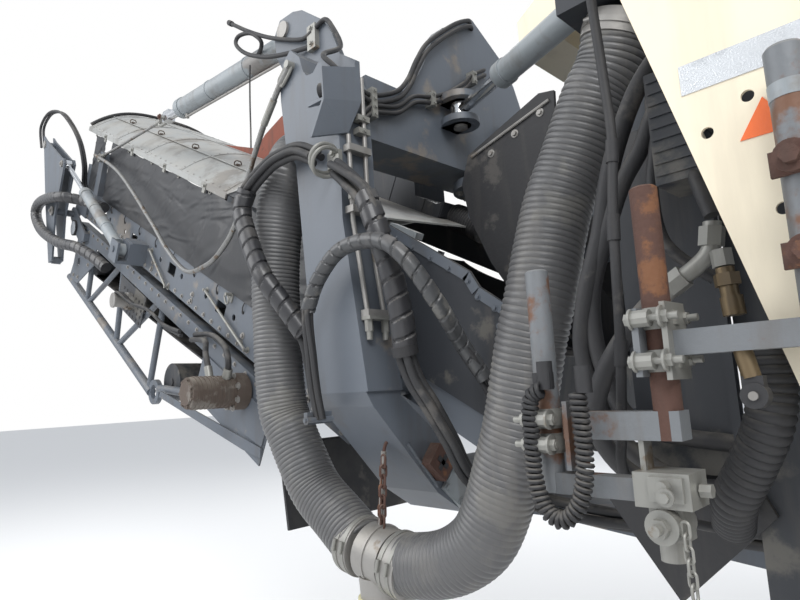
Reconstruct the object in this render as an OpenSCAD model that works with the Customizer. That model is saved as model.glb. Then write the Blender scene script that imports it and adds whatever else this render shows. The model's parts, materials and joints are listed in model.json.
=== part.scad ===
/* [Conveyor] */
// Slope of the discharge conveyor above level, degrees
conveyor_slope = 28; // [26:0.5:30]
// Length of the inner section along the slope, mm
inner_length = 3950; // [3900:10:3990]
// Width across the two side plates, mm
section_width = 1200; // [1190:2:1206]
// Width of the belt, mm
belt_width = 900; // [700:10:940]
// Height of the inner side plates, mm
side_height = 430; // [425:1:431]
// Thickness of the belt, mm
belt_thickness = 12; // [8:1:12]
// Height of the roof ridge over its edge, mm
roof_rise = 205; // [150:5:215]

/* [Slewing bracket] */
// Thickness of each column across the machine, mm
column_thickness = 160; // [120:5:170]
// Radius of the slewing pins, mm
slew_pin_radius = 60; // [40:1:60]
// Width of the yoke arms along the machine, mm
yoke_width = 280; // [200:5:282]

/* [Cylinders] */
// Outer radius of the lift cylinder barrels, mm
lift_barrel_radius = 55; // [48:1:56]
// Radius of the lift cylinder rods, mm
lift_rod_radius = 28; // [20:1:32]
// Outer radius of the fold cylinder barrels, mm
fold_barrel_radius = 40; // [34:1:42]
// Outer radius of the slewing cylinder barrels, mm
slew_barrel_radius = 48; // [40:1:50]

/* [Hoses] */
// Outer radius of the large suction hose, mm
suction_radius = 101; // [88:1:102]
// Outer radius of each wrapped hydraulic bundle, mm
bundle_radius = 40; // [28:1:42]

/* [Front frame] */
// Thickness of the side fairing sheets, mm
fairing_thickness = 6; // [4:1:8]
// Radius of the four mounting bolt holes, mm
bolt_hole_radius = 18; // [12:1:22]

/* [Hidden] */
// machine frame to the row frame: the rear flange is 2000 behind the slewing axis
place = [2000, 0, -1900];
fit = 0.05;
conv_z = 1157;
half = section_width / 2;
belt_half = belt_width / 2;
paint = [0.45, 0.49, 0.53];
dark = [0.16, 0.17, 0.19];
cream = [0.86, 0.81, 0.68];
rust = [0.40, 0.22, 0.15];
steel = [0.70, 0.71, 0.72];
black = [0.06, 0.06, 0.07];
tilt_pin = [0, 0, 1760];
lift_a = [514, 655, 3347];
lift_l = [3193, 655, 3622];
lift_len = norm(lift_l - lift_a);
lift_ang = atan2(lift_l[2] - lift_a[2], lift_l[0] - lift_a[0]);
hinge_u = 5000;
hinge_w = -30;
lever_u = 4970;
lever_w = 380;
fold_u = 3450;
fold_w = 90;
fold_len = norm([lever_u - fold_u, lever_w - fold_w]);
fold_ang = atan2(lever_w - fold_w, lever_u - fold_u);
slew_e = [-60, 230, 2890];
slew_b = [-1040, 590, 2890];
slew_len = norm(slew_e - slew_b);
slew_ang = atan2(slew_e[1] - slew_b[1], slew_e[0] - slew_b[0]);
belt_a = [600, 430];
belt_b = [4850, 250];
belt_len = norm(belt_b - belt_a);
belt_ang = -atan2(belt_b[1] - belt_a[1], belt_b[0] - belt_a[0]);
outer_a = [1830, -165];
outer_b = [4750, -380];
outer_len = norm(outer_b - outer_a);
outer_ang = -atan2(outer_b[1] - outer_a[1], outer_b[0] - outer_a[0]);
drum_radius = 100;
// columns of the route tables: x, y, z in the machine frame
rear_route = [[-948, 600, 2686], [-906, 605, 2580], [-861, 620, 2500], [-791, 645, 2335],
  [-745, 670, 2220], [-718, 695, 2104], [-687, 730, 1931], [-652, 735, 1820], [-621, 735, 1709],
  [-590, 735, 1597], [-548, 735, 1484], [-488, 735, 1341], [-430, 737, 1249], [-338, 738, 1184],
  [-232, 738, 1147], [-94, 738, 1126]];
front_route = [[121, 738, 1161], [234, 742, 1240], [357, 752, 1333], [426, 765, 1445], [478, 778, 1550],
  [520, 788, 1643], [537, 794, 1807], [539, 796, 1974], [546, 796, 2146], [534, 794, 2318],
  [492, 790, 2529], [448, 776, 2669], [476, 700, 2756], [525, 600, 2781], [560, 490, 2766]];
bundle_rear = [[-50, 930, 2478], [-110, 932, 2425], [-194, 930, 2336], [-234, 925, 2226],
  [-262, 900, 2076], [-274, 870, 1917], [-261, 850, 1824], [-268, 820, 1728], [-299, 790, 1648],
  [-332, 745, 1536], [-362, 680, 1407], [-470, 570, 1345], [-700, 500, 1300], [-1000, 460, 1290],
  [-1214, 450, 1290]];
bundle_front = [[60, 932, 2550], [158, 936, 2608], [263, 936, 2622], [363, 936, 2614], [510, 945, 2548],
  [550, 948, 2459], [483, 950, 2308], [400, 945, 2165], [340, 905, 2060], [270, 850, 1926],
  [262, 825, 1811], [276, 800, 1690]];
wrapped_route = [[59, 950, 1614], [75, 955, 1700], [85, 960, 1817], [97, 960, 1992], [34, 960, 2088],
  [-91, 960, 2169], [-264, 960, 2165], [-370, 950, 2096], [-430, 870, 1945], [-400, 740, 1835],
  [-440, 680, 1720], [-500, 620, 1600], [-760, 500, 1500], [-1214, 430, 1480]];
rope_route = [[262, 893, 3010], [330, 892, 2962], [386, 890, 2913], [480, 880, 2841], [648, 850, 2698],
  [836, 820, 2496], [1020, 800, 2405], [1211, 780, 2375], [1468, 760, 2397], [1760, 740, 2580],
  [2054, 720, 2831], [2665, 695, 3330], [3225, 682, 3650]];

// catmull-rom point of the table p, piece i, share t
function curve(p, i, t) =
  let(n = len(p) - 1, a = p[max(i - 1, 0)], b = p[i], c = p[min(i + 1, n)], d = p[min(i + 2, n)])
  0.5 * (2 * b + (c - a) * t + (2 * a - 5 * b + 4 * c - d) * t * t + (3 * b - a - 3 * c + d) * t * t * t);
function smooth(p, k) = [for (i = [0:len(p) - 2]) for (j = [0:k - 1]) curve(p, i, j / k), p[len(p) - 1]];
function unit(v) = v / norm(v);
function ring(p, i, r, m) =
  let(n = len(p) - 1, t = unit(p[min(i + 1, n)] - p[max(i - 1, 0)]),
    s = unit(cross(t, [0, 1, 0.02])), v = cross(t, s))
  [for (j = [0:m - 1]) p[i] + r * (cos(360 * j / m) * s + sin(360 * j / m) * v)];

module swept(route, r, m = 10, k = 5) {
  p = smooth(route, k);
  n = len(p);
  pts = [for (i = [0:n - 1]) each ring(p, i, r, m)];
  sides = [for (i = [0:n - 2]) for (j = [0:m - 1])
    [i * m + j, (i + 1) * m + j, (i + 1) * m + (j + 1) % m, i * m + (j + 1) % m]];
  ends = [[for (j = [0:m - 1]) j], [for (j = [0:m - 1]) n * m - 1 - j]];
  polyhedron(points = pts, faces = concat(sides, ends), convexity = 8);
}

module box(x0, x1, y0, y1, z0, z1) {
  translate([x0, y0, z0])
    cube([x1 - x0, y1 - y0, z1 - z0]);
}

module both() {
  children();
  mirror([0, 1, 0])
    children();
}

module rod(a, b, r, n = 32) {
  d = b - a;
  translate(a)
    rotate([0, acos(d[2] / norm(d)), atan2(d[1], d[0])])
      cylinder(r = r, h = norm(d), $fn = n);
}

// plate in the xz plane from y0 to y1
module side_plate(points, y0, y1) {
  translate([0, y1, 0])
    rotate([90, 0, 0])
      linear_extrude(y1 - y0)
        polygon(points);
}

// round bar across the machine
module cross_bar(x, z, r, y0, y1, n = 48) {
  translate([x, y1, z])
    rotate([90, 0, 0])
      cylinder(r = r, h = y1 - y0, $fn = n);
}

// children are drawn in the slope frame: x along the belt, z square to it
module on_slope() {
  rotate([0, -conveyor_slope, 0])
    translate([0, 0, conv_z])
      children();
}

module mount_flange() {
  color(paint)
    difference() {
      box(-2000, -1970, -1000, 1000, 1000, 2800);
      box(-2001, -1969, -700, 700, 1250, 2500);
      for (y = [-920, 920], z = [1080, 2720])
        translate([-2001, y, z])
          rotate([0, 90, 0])
            cylinder(r = bolt_hole_radius, h = 32, $fn = 32);
    }
}

module frame_walls() {
  color(dark) {
    both()
      box(-1970, -1240, 860, 880, 1060, 2700);
    difference() {
      box(-1240, -1220, -880, 880, 1060, 2700);
      box(-1241, -1219, -340, 340, 1500, 2480);
    }
    both()
      box(-1500, -1440, 880, 1250, 1700, 1760);
    both()
      box(-1500, -1440, 880, 1250, 2400, 2460);
    box(-1970, -1240, -860, 860, 1060, 1080);
  }
}

module upper_console() {
  color(paint) {
    difference() {
      translate([0, 0, 2590])
        linear_extrude(40)
          union() {
            circle(r = 150, $fn = 64);
            polygon([[-1220, -300], [-700, -150], [0, -150], [0, 150], [-700, 150], [-1220, 300]]);
          }
      translate([0, 0, 2589])
        cylinder(r = slew_pin_radius + fit, h = 42, $fn = 64);
    }
    for (y = [-140, 120])
      side_plate([[-1219, 2630], [-1219, 2760], [-700, 2740], [-350, 2630]], y, y + 20);
  }
}

module lower_console() {
  color(paint) {
    translate([0, 0, 1190])
      linear_extrude(40)
        union() {
          circle(r = 120, $fn = 64);
          polygon([[-1220, -240], [-600, -120], [0, -120], [0, 120], [-600, 120], [-1220, 240]]);
        }
    for (y = [-110, 90])
      side_plate([[-1219, 1090], [-1219, 1190], [-250, 1190]], y, y + 20);
    translate([0, 0, 1195])
      cylinder(r = slew_pin_radius - 10, h = 190, $fn = 64);
  }
}

module cylinder_lugs() {
  color(paint)
    both() {
      box(-1240, -1120, 520, 660, 2700, slew_b[2] + 65);
      for (z = [-65, 45])
        translate([0, 0, slew_b[2] + z])
          linear_extrude(20)
            union() {
              translate([slew_b[0], slew_b[1]])
                circle(r = 50, $fn = 48);
              polygon([[-1130, 530], [slew_b[0], 540], [slew_b[0], 640], [-1130, 650]]);
            }
      translate([slew_b[0], slew_b[1], slew_b[2] - 85])
        cylinder(r = 22, h = 170, $fn = 48);
    }
}

module transfer_hood() {
  color(paint) {
    both()
      side_plate([[-1220, 2230], [-1220, 2575], [-620, 2575], [-200, 2545], [-200, 2350], [-290, 2230]],
        385, 400);
    box(-1220, -260, -385, 385, 2515, 2530);
  }
}

module transfer_aprons() {
  color(black)
    both()
      side_plate([[-600, 2240], [-620, 2700], [-560, 2712], [-230, 2588], [-190, 2480], [-215, 2345],
        [-300, 2150], [-378, 2030], [-420, 2080], [-480, 2200]], 400, 414);
}

module transfer_belt() {
  color(black) {
    box(-1219, -420, -330, 330, 2480, 2490);
    box(-1219, -420, -330, 330, 2270, 2280);
    difference() {
      cross_bar(-420, 2380, 110, -330, 330, 64);
      cross_bar(-420, 2380, 100, -331, 331, 64);
      box(-600, -420, -332, 332, 2200, 2600);
    }
  }
}

module transfer_drum() {
  color(steel) {
    cross_bar(-420, 2380, 99.5, -320, 320, 64);
    cross_bar(-420, 2380, 35, -385, 385);
  }
}

module suction_box() {
  color(dark) {
    box(-1090, -830, 480, 740, 2730, 2800);
    box(-1220, -1090, 664, 740, 2708, 2800);
    box(-1240, -1220, 664, 740, 2701, 2800);
  }
}

module centre_cover() {
  color(cream) {
    difference() {
      side_plate([[-1240, 2960], [-1240, 3180], [-560, 3180], [-430, 3100], [-430, 2960]], -300, 300);
      box(-1239, -600, -280, 280, 2959, 3160);
    }
    both()
      box(-1240, -1221, 240, 298, 2701, 2970);
  }
}

module fairing_sheet() {
  difference() {
    side_plate([[-1970, 1100], [-1554, 1100], [-1069, 2900], [-1970, 2900]], 1250, 1250 + fairing_thickness);
    for (p = [[-1328, 2058], [-1387, 2094], [-1410, 1920]])
      cross_bar(p[0], p[1], 9, 1249, 1260);
  }
  side_plate([[-1554, 1100], [-1069, 2900], [-1090, 2900], [-1575, 1100]], 1222, 1250);
}

module side_fairings() {
  color(cream)
    both()
      fairing_sheet();
}

module filter_box() {
  color(black) {
    box(-1288, -1200, 1030, 1140, 2035, 2245);
    box(-1270, -1242, 880, 1030, 2090, 2190);
    translate([-1244, 1085, 2245])
      cylinder(r = 40, h = 50, $fn = 48);
  }
}

module side_aprons() {
  color(black)
    both()
      side_plate([[-920, 1438], [-1018, 1535], [-1165, 1618], [-1255, 1428], [-1060, 1240]], 880, 892);
}

module sensor_post() {
  color(paint) {
    rod([-1446, 1300, 1690], [-1446, 1300, 2124], 25, 48);
    box(-1440, -1262, 1282, 1318, 1730, 1768);
    box(-1466, -1426, 1256, 1290, 1820, 1860);
    box(-1466, -1426, 1256, 1290, 1940, 1980);
  }
}

module sensor_tubes() {
  color(rust)
    rod([-1240, 1300, 1600], [-1240, 1300, 1985], 21.5, 48);
  color(paint) {
    box(-1215, -1100, 1282, 1318, 1611, 1647);
    rod([-1040, 1300, 1521], [-1040, 1300, 1890], 20, 48);
    box(-1186, -1040, 1284, 1316, 1520, 1552);
  }
}

module sensor_holder() {
  color(steel) {
    difference() {
      box(-1262, -1215, 1262, 1338, 1690, 1800);
      rod([-1240, 1300, 1600], [-1240, 1300, 1985], 21.6, 48);
    }
    difference() {
      box(-1262, -1215, 1262, 1338, 1600, 1660);
      rod([-1240, 1300, 1590], [-1240, 1300, 1985], 21.6, 48);
    }
    box(-1270, -1186, 1270, 1330, 1455, 1565);
    difference() {
      box(-1100, -1020, 1262, 1338, 1602, 1656);
      rod([-1040, 1300, 1500], [-1040, 1300, 1890], 20.1, 48);
    }
  }
}

module top_beam() {
  color(paint) {
    side_plate([[5, 2660], [245, 2660], [260, 2760], [230, 2920], [5, 2920]], -720, 720);
    translate([5, 0, 0])
      rotate([90, 0, 90])
        linear_extrude(20)
          polygon([[-489, 2910], [489, 2910], [385, 3071], [315, 3216], [231, 3321], [0, 3460],
            [-231, 3321], [-315, 3216], [-385, 3071]]);
    both()
      translate([5, 0, 0])
        rotate([90, 0, 90])
          linear_extrude(70)
            polygon([[489, 2919], [385, 3071], [315, 3216], [231, 3321], [0, 3460], [0, 3445],
              [223, 3311], [304, 3210], [374, 3064], [477, 2919]]);
    translate([0, 0, 2640])
      cylinder(r = 100, h = 60, $fn = 64);
    translate([0, 0, 2580])
      cylinder(r = slew_pin_radius, h = 70, $fn = 64);
    both()
      for (z = [-67, 39])
        translate([0, 0, slew_e[2] + z])
          linear_extrude(28)
            union() {
              translate([slew_e[0], slew_e[1]])
                circle(r = 48, $fn = 48);
              polygon([[slew_e[0], slew_e[1] - 48], [20, slew_e[1] - 60], [20, slew_e[1] + 60],
                [slew_e[0], slew_e[1] + 48]]);
            }
  }
}

module column() {
  side_plate([[-101, 1761], [-59, 2022], [-14, 2311], [-15, 2564], [0, 2850], [24, 2902], [59, 2942],
    [96, 2952], [130, 2925], [170, 2930], [193, 2958], [217, 3030], [277, 3088], [330, 3050],
    [352, 2960], [350, 2896], [322, 2688], [257, 2592], [204, 2048], [188, 1752], [180, 1700],
    [-110, 1700]], 720, 720 + column_thickness);
  side_plate([[36, 2900], [36, 2988], [125, 3055], [171, 3169], [227, 3256], [301, 3317], [371, 3375],
    [440, 3402], [543, 3410], [590, 3350], [575, 3240], [480, 3080], [352, 2940], [330, 2880]], 720, 745);
  cross_bar(lift_a[0], lift_a[2], 25, 610, 740);
  cross_bar(tilt_pin[0], tilt_pin[2], 45, 610, 730, 64);
  cross_bar(tilt_pin[0], tilt_pin[2], 75, 700, 720, 64);
}

module columns() {
  color(paint)
    both()
      column();
}

module lower_yoke() {
  color(paint)
    difference() {
      union() {
        both()
          translate([-100, 0, 0])
            rotate([90, 0, 90])
              linear_extrude(yoke_width)
                polygon([[0, 1240], [420, 1240], [560, 1330], [850, 1650], [880, 1700], [720, 1700],
                  [720, 1680], [400, 1420], [330, 1400], [0, 1400]]);
        translate([0, 0, 1240])
          cylinder(r = 130, h = 160, $fn = 64);
      }
      translate([0, 0, 1239])
        cylinder(r = slew_pin_radius - 10 + fit, h = 150, $fn = 64);
    }
}

// thin folded panel through the given corners
module panel(corners) {
  hull()
    for (p = corners)
      translate(p)
        cube(8, center = true);
}

module lamp_guards() {
  color(paint)
    both()
      difference() {
        union() {
          panel([[-34, 964, 2842], [-42, 800, 2894], [-45, 800, 2765], [-34, 960, 2729]]);
          panel([[-34, 960, 2729], [-45, 800, 2765], [-28, 855, 2634], [42, 960, 2615]]);
          panel([[-34, 960, 2729], [54, 960, 2734], [60, 890, 2790], [-36, 890, 2748]]);
          box(-38, 30, 806, 830, 2800, 2860);
        }
        column();
      }
}

module column_pipes() {
  color(steel)
    both() {
      for (p = [[775, 2870], [850, 2625]])
        swept([[-94, p[0], 1950], [-36, p[0], 2302], [-30, p[0], p[1]]], 9, 12, 1);
      box(-52, -16, 760, 866, 2560, 2585);
      box(-58, -15, 760, 866, 2330, 2355);
      box(-112, -73, 762, 864, 1945, 1975);
    }
}

module hose_tee() {
  color(steel) {
    rod([-52, 738, 1132.5], [66, 738, 1151.4], suction_radius - 3, 48);
    translate([14, 738, 900])
      cylinder(r1 = 70, r2 = 84, h = 180, $fn = 48);
    rod([14, 738, 1230], [-22, 741, 1492], 10, 16);
  }
}

module inner_side_plates() {
  color(paint) {
    on_slope()
      both()
        difference() {
          union() {
            box(1000, 1000 + inner_length, half - 8, half, 0, side_height);
            box(1000, 1000 + inner_length, half - 60, half, 0, 10);
            box(1000, 1000 + inner_length, half - 20, half, side_height - 10, side_height);
            box(350, 1000, half - 8, half, 320, side_height);
          }
          for (u = [1500:700:4300])
            box(u, u + 110, half - 10, half + 1, 90, 160);
          for (u = [1750:350:4200])
            translate([u, half + 1, 130])
              rotate([90, 0, 0])
                cylinder(r = 18, h = 12, $fn = 24);
        }
    both()
      difference() {
        cross_bar(tilt_pin[0], tilt_pin[2], 80, half - 4, 690, 64);
        cross_bar(tilt_pin[0], tilt_pin[2], 45 + fit, half - 5, 691, 64);
      }
  }
}

module inner_posts() {
  color(paint)
    on_slope()
      both()
        for (u = [1260:620:4360])
          box(u, u + 40, half - 20, half, side_height, 712);
}

module inner_crossbars() {
  color(paint)
    on_slope()
      for (u = [1300:640:4500])
        box(u, u + 60, -half + 8, half - 8, 20, 100);
}

module fold_hinges() {
  color(paint)
    on_slope()
      both() {
        box(4740, 4940, half, half + 16, 0, 220);
        side_plate([[4840, 60], [4940, 200], [5030, 80], [5060, -30], [4940, -30], [4900, 0]], half, half + 16);
        translate([hinge_u, half + 16, hinge_w])
          rotate([90, 0, 0])
            cylinder(r = 60, h = 16, $fn = 48);
        translate([hinge_u, 800, hinge_w])
          rotate([90, 0, 0])
            cylinder(r = 28, h = 796 - half, $fn = 48);
      }
}

module inner_lugs() {
  color(paint)
    on_slope()
      both() {
        box(4470, 4570, half, 640, 250, 590);
        box(3380, 3520, half, 706, 10, 160);
        box(3380, 3520, 700, 720, 10, 150);
        box(3380, 3520, 780, 795, 10, 150);
        box(3380, 3520, 700, 795, 10, 28);
        translate([fold_u, 805, fold_w])
          rotate([90, 0, 0])
            cylinder(r = 20, h = 100, $fn = 48);
      }
}

// points of a roof section: power 1 is a gable and power 3 an arch, dir is the side it starts from
function arch(w, rise, half_width, power, dir) = [for (k = [-5:5]) let(t = dir * k / 5)
  [t * half_width, w + rise * (1 - pow(abs(t), power))]];
function roof_section(w, rise, half_width, power) =
  concat(arch(w, rise, half_width, power, 1), arch(w + 8, rise, half_width, power, -1));

// half of the gable between the two roofs, thin at the place u with its edge at w and rise h
module roof_slab(u, w, half_width, h) {
  translate([u, 0, w])
    rotate([90, 0, 90])
      linear_extrude(1)
        polygon([[0, h], [0, h + 8], [half_width, 8], [half_width, 0]]);
}

module along_roof(start, length, section) {
  translate([start, 0, 0])
    rotate([90, 0, 90])
      linear_extrude(length)
        polygon(section);
}

module inner_roof() {
  color([0.62, 0.63, 0.62])
    on_slope() {
      along_roof(2451, 2599, roof_section(717, roof_rise, 618, 3));
      along_roof(2445, 12, concat(arch(725, roof_rise, 618, 3, 1), [[618, 717], [0, 717 + roof_rise],
        [-618, 717]]));
      both()
        hull() {
          roof_slab(2039, 899, 612, 50);
          roof_slab(2450, 717, 618, roof_rise);
        }
      along_roof(1213, 827, roof_section(899, 50, 612, 1));
    }
}

module under_roof() {
  translate([1150, 0, 0])
    rotate([90, 0, 90])
      linear_extrude(890)
        polygon([[-612, 500], [-612, 907.2], [0, 957.2], [612, 907.2], [612, 500]]);
}

module side_curtains() {
  color([0.20, 0.21, 0.22])
    on_slope()
      both() {
        box(1250, 4450, 602, 612, 235, 712);
        box(4590, 4850, 602, 612, 235, 712);
      }
}

module belt_loop(length, width) {
  box(0, length, -width, width, drum_radius + 0.5, drum_radius + 0.5 + belt_thickness);
  box(0, length, -width, width, -drum_radius - 0.5 - belt_thickness, -drum_radius - 0.5);
  for (s = [0, 1])
    translate([s * length, 0, 0])
      difference() {
        cross_bar(0, 0, drum_radius + 0.5 + belt_thickness, -width, width, 64);
        cross_bar(0, 0, drum_radius + 0.5, -width - 1, width + 1, 64);
        translate([s == 0 ? 0 : -200, -width - 2, -200])
          cube([200, 2 * width + 4, 400]);
      }
}

module inner_belt() {
  color(black)
    on_slope()
      translate([belt_a[0], 0, belt_a[1]])
        rotate([0, belt_ang, 0])
          belt_loop(belt_len, belt_half);
}

module inner_rollers() {
  color(steel)
    on_slope() {
      for (p = [belt_a, belt_b]) {
        cross_bar(p[0], p[1], drum_radius, -belt_half - 20, belt_half + 20, 64);
        cross_bar(p[0], p[1], 32, -half + 8, half - 8);
      }
      translate([belt_a[0], 0, belt_a[1]])
        rotate([0, belt_ang, 0])
          for (x = [650:600:4000]) {
            cross_bar(x, 54, 45, -belt_half - 10, belt_half + 10);
            cross_bar(x, 54, 14, -half + 21, half - 21, 24);
          }
    }
}

module receiving_hopper() {
  color(dark)
    on_slope() {
      both()
        difference() {
          side_plate([[370, 430], [389, 506], [491, 800], [607, 815], [668, 851], [1139, 898], [2036, 898],
            [2440, 719], [1245, 719], [1245, 430]], half + 1, half + 9);
          cross_bar(826.3, 397, 84, half, half + 10, 64);
        }
      both()
        difference() {
          box(372, 1240, belt_half + 30, half + 1, 560, 570);
          box(360, 410, belt_half + 29, half + 2, 559, 571);
        }
      side_plate([[358, 430], [370, 430], [440, 640], [428, 640]], -half - 9, half + 9);
    }
}

module suction_stub() {
  color(paint)
    difference() {
      union() {
        rod([562, 443, 2756], [562, 400, 2750], suction_radius + 4, 48);
        translate([562, 380, 2560])
          cylinder(r = 96, h = 240, $fn = 48);
      }
      on_slope()
        under_roof();
    }
}

module air_duct() {
  ridge = 725.2 + roof_rise;
  color(rust)
    difference() {
      on_slope()
        union() {
          side_plate([[1345, 960], [1345, 1028], [1395, 1006], [1420, 1010], [1545, 1014], [1580, 1076],
            [1991, 1076], [1991, 900], [1480, 900]], -110, 110);
          rod([1350, 0, 970], [1220, 0, 970], 58, 48);
          side_plate([[1990, 957.2], [2040, 957.2], [2451, ridge], [3560, ridge], [3087, 982],
            [3027, 1083], [2876, 1227], [1990, 1060]], -150, 150);
        }
      on_slope()
        under_roof();
    }
}

module outer_side_plates() {
  color(paint)
    on_slope()
      both()
        difference() {
          union() {
            box(1550, 4880, half - 8, half, -160, -60);
            box(1550, 4880, half - 60, half, -70, -60);
            box(1550, 4880, half - 60, half, -160, -150);
            box(1550, 2320, half - 8, half, -430, -155);
            side_plate([[4880, -155], [4880, -560], [4700, -560], [4380, -300], [4380, -155]], half - 8, half);
          }
          for (p = [outer_a, outer_b])
            cross_bar(p[0], p[1], 36, half - 70, half + 1);
        }
}

module outer_crossbars() {
  color(paint)
    on_slope()
      for (u = [1560, 3100, 3800, 4500])
        box(u, u + 60, -half + 8, half - 8, -112, -72);
}

module outer_hinge_lugs() {
  color(paint)
    on_slope()
      both()
        difference() {
          union() {
            box(4600, 4800, half, 640, -160, -98);
            side_plate([[4600, -160], [4600, -98], [4990, 29], [5058, -40], [4980, -110], [4700, -200]],
              624, 640);
            translate([hinge_u, 640, hinge_w])
              rotate([90, 0, 0])
                cylinder(r = 60, h = 16, $fn = 48);
          }
          translate([hinge_u, 641, hinge_w])
            rotate([90, 0, 0])
              cylinder(r = 28 + fit, h = 20, $fn = 48);
        }
}

module outer_truss() {
  color(dark)
    on_slope()
      both()
        difference() {
          union() {
            rod([5030, 560, -600], [2950, 560, -720], 30);
            for (s = [[4850, -130, 4990, -600], [4560, -130, 4480, -632], [3880, -130, 4440, -634],
              [3840, -130, 3700, -675], [3100, -130, 3650, -678], [3050, -130, 2990, -715]])
              rod([s[0], 560, s[1]], [s[2], 560, s[3]], 20, 24);
            translate([2890, 575, -690])
              rotate([90, 0, 0])
                cylinder(r = 80, h = 30, $fn = 48);
            rod([2835, 560, -640], [2310, 560, -425], 26);
          }
          translate([2890, 586, -690])
            rotate([90, 0, 0])
              cylinder(r = 45, h = 62, $fn = 48);
          box(1500, 4900, 520, 610, -161, 0);
        }
}

module outer_belt() {
  color(black)
    on_slope()
      translate([outer_a[0], 0, outer_a[1]])
        rotate([0, outer_ang, 0])
          belt_loop(outer_len, belt_half);
}

module outer_drums() {
  color(steel)
    on_slope() {
      for (p = [outer_a, outer_b]) {
        cross_bar(p[0], p[1], drum_radius, -belt_half - 20, belt_half + 20, 64);
        cross_bar(p[0], p[1], 32, -half + 8, half - 8);
      }
      cross_bar(2780, -570, 120, -520, 520, 64);
      cross_bar(2780, -570, 26, -528, 528);
    }
}

module drive_motor() {
  color([0.30, 0.25, 0.22])
    on_slope() {
      cross_bar(outer_a[0], outer_a[1], 75, 679, 905, 64);
      cross_bar(outer_a[0], outer_a[1], 92, half + 12, 680, 64);
    }
}

module discharge_hood() {
  color(paint)
    on_slope()
      both() {
        side_plate([[2720, -640], [2720, -600], [1560, -335], [1540, -380], [1700, -425]], half + 1, half + 11);
        side_plate([[2300, -420], [2300, -160], [1560, -160], [1560, -330]], half + 1, half + 9);
      }
}

module discharge_flap() {
  color(black)
    on_slope()
      side_plate([[1530, -300], [1516, -306], [1270, -610], [1284, -620]], -540, 540);
}

module fold_levers() {
  color(paint)
    on_slope()
      both() {
        for (y = [[705, 720], [780, 795]])
          difference() {
            side_plate([[5590, 480], [5700, 500], [5240, -60], [4870, -450], [4790, -400], [4925, -60],
              [4915, 400], [4960, 430], [5020, 420]], y[0], y[1]);
            translate([hinge_u, y[1] + 1, hinge_w])
              rotate([90, 0, 0])
                cylinder(r = 28 + fit, h = 20, $fn = 48);
          }
        box(4820, 4870, 715, 785, -440, -390);
        translate([5600, 785, 440])
          rotate([90, 0, 0])
            cylinder(r = 25, h = 70, $fn = 32);
      }
}

// cylinder parts lie along +x from the eye, the barrel proper starts after a thinner neck
module eye_barrel(length, r, rod_r, eye_r, eye_half, pin_r, depth, neck) {
  difference() {
    union() {
      rotate([0, 90, 0])
        cylinder(r = eye_half - 2, h = neck + 1, $fn = 48);
      translate([neck, 0, 0])
        rotate([0, 90, 0])
          cylinder(r = r, h = length - neck, $fn = 48);
      cross_bar(0, 0, eye_r, -eye_half, eye_half);
    }
    cross_bar(0, 0, pin_r + fit, -eye_half - 1, eye_half + 1);
    translate([depth, 0, 0])
      rotate([0, 90, 0])
        cylinder(r = rod_r + fit, h = length - depth + 1, $fn = 48);
  }
}

// the stub in the eye stays between the two lug plates
module eye_rod(start, length, rod_r, eye_r, eye_half, pin_r, pin_half) {
  translate([start, 0, 0])
    rotate([0, 90, 0])
      cylinder(r = rod_r, h = length - start, $fn = 48);
  translate([length, 0, 0])
    cross_bar(0, 0, eye_r, -eye_half, eye_half);
  translate([length, 0, 0])
    cross_bar(0, 0, pin_r, -pin_half, pin_half);
}

module fold_barrels() {
  color([0.66, 0.69, 0.70])
    on_slope()
      both()
        translate([fold_u, 750, fold_w])
          rotate([0, -fold_ang, 0])
            eye_barrel(960, fold_barrel_radius, 18, 42, 25, 20, 150, 90);
}

module fold_rods() {
  color(steel)
    on_slope()
      both()
        translate([fold_u, 750, fold_w])
          rotate([0, -fold_ang, 0])
            eye_rod(610, fold_len, 18, 38, 22, 18, 28);
}

module lift_barrels() {
  color([0.66, 0.69, 0.70])
    both()
      translate(lift_a)
        rotate([0, -lift_ang, 0])
          eye_barrel(1240, lift_barrel_radius, lift_rod_radius, 58, 35, 25, 130, 66);
}

module lift_rods() {
  color(steel)
    both()
      translate(lift_a)
        rotate([0, -lift_ang, 0]) {
          translate([500, 0, 0])
            rotate([0, 90, 0])
              cylinder(r = lift_rod_radius, h = 890, $fn = 48);
          box(1388, 1470, -24, 24, -34, 34);
        }
}

module lift_ropes() {
  color(steel)
    both()
      translate(lift_a)
        rotate([0, -lift_ang, 0]) {
          translate([1470, 0, 0])
            rotate([0, 90, 0])
              cylinder(r = 18, h = 150, $fn = 32);
          translate([1619, 0, 0])
            rotate([0, 90, 0])
              cylinder(r = 10, h = lift_len - 1619, $fn = 24);
          translate([lift_len, 0, 0])
            cross_bar(0, 0, 34, -9, 9);
          translate([lift_len, 0, 0])
            cross_bar(0, 0, 14, -13, 18);
        }
}

module slew_frame() {
  translate(slew_b)
    rotate([0, 0, slew_ang])
      rotate([90, 0, 0])
        children();
}

module slew_barrel() {
  color([0.66, 0.69, 0.70])
    slew_frame()
      eye_barrel(720, slew_barrel_radius, 25, 44, 30, 22, 130, 66);
}

module slew_rod() {
  color(steel)
    slew_frame()
      eye_rod(420, slew_len, 25, 42, 30, 20, 38);
}

module left_slew_barrel() {
  slew_barrel();
}

module left_slew_rod() {
  slew_rod();
}

module right_slew_barrel() {
  mirror([0, 1, 0])
    slew_barrel();
}

module right_slew_rod() {
  mirror([0, 1, 0])
    slew_rod();
}

module rear_suction_hose() {
  color([0.35, 0.36, 0.37])
    swept(rear_route, suction_radius, 12, 4);
}

module front_suction_hose() {
  color([0.35, 0.36, 0.37])
    swept(front_route, suction_radius, 12, 4);
}

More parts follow.
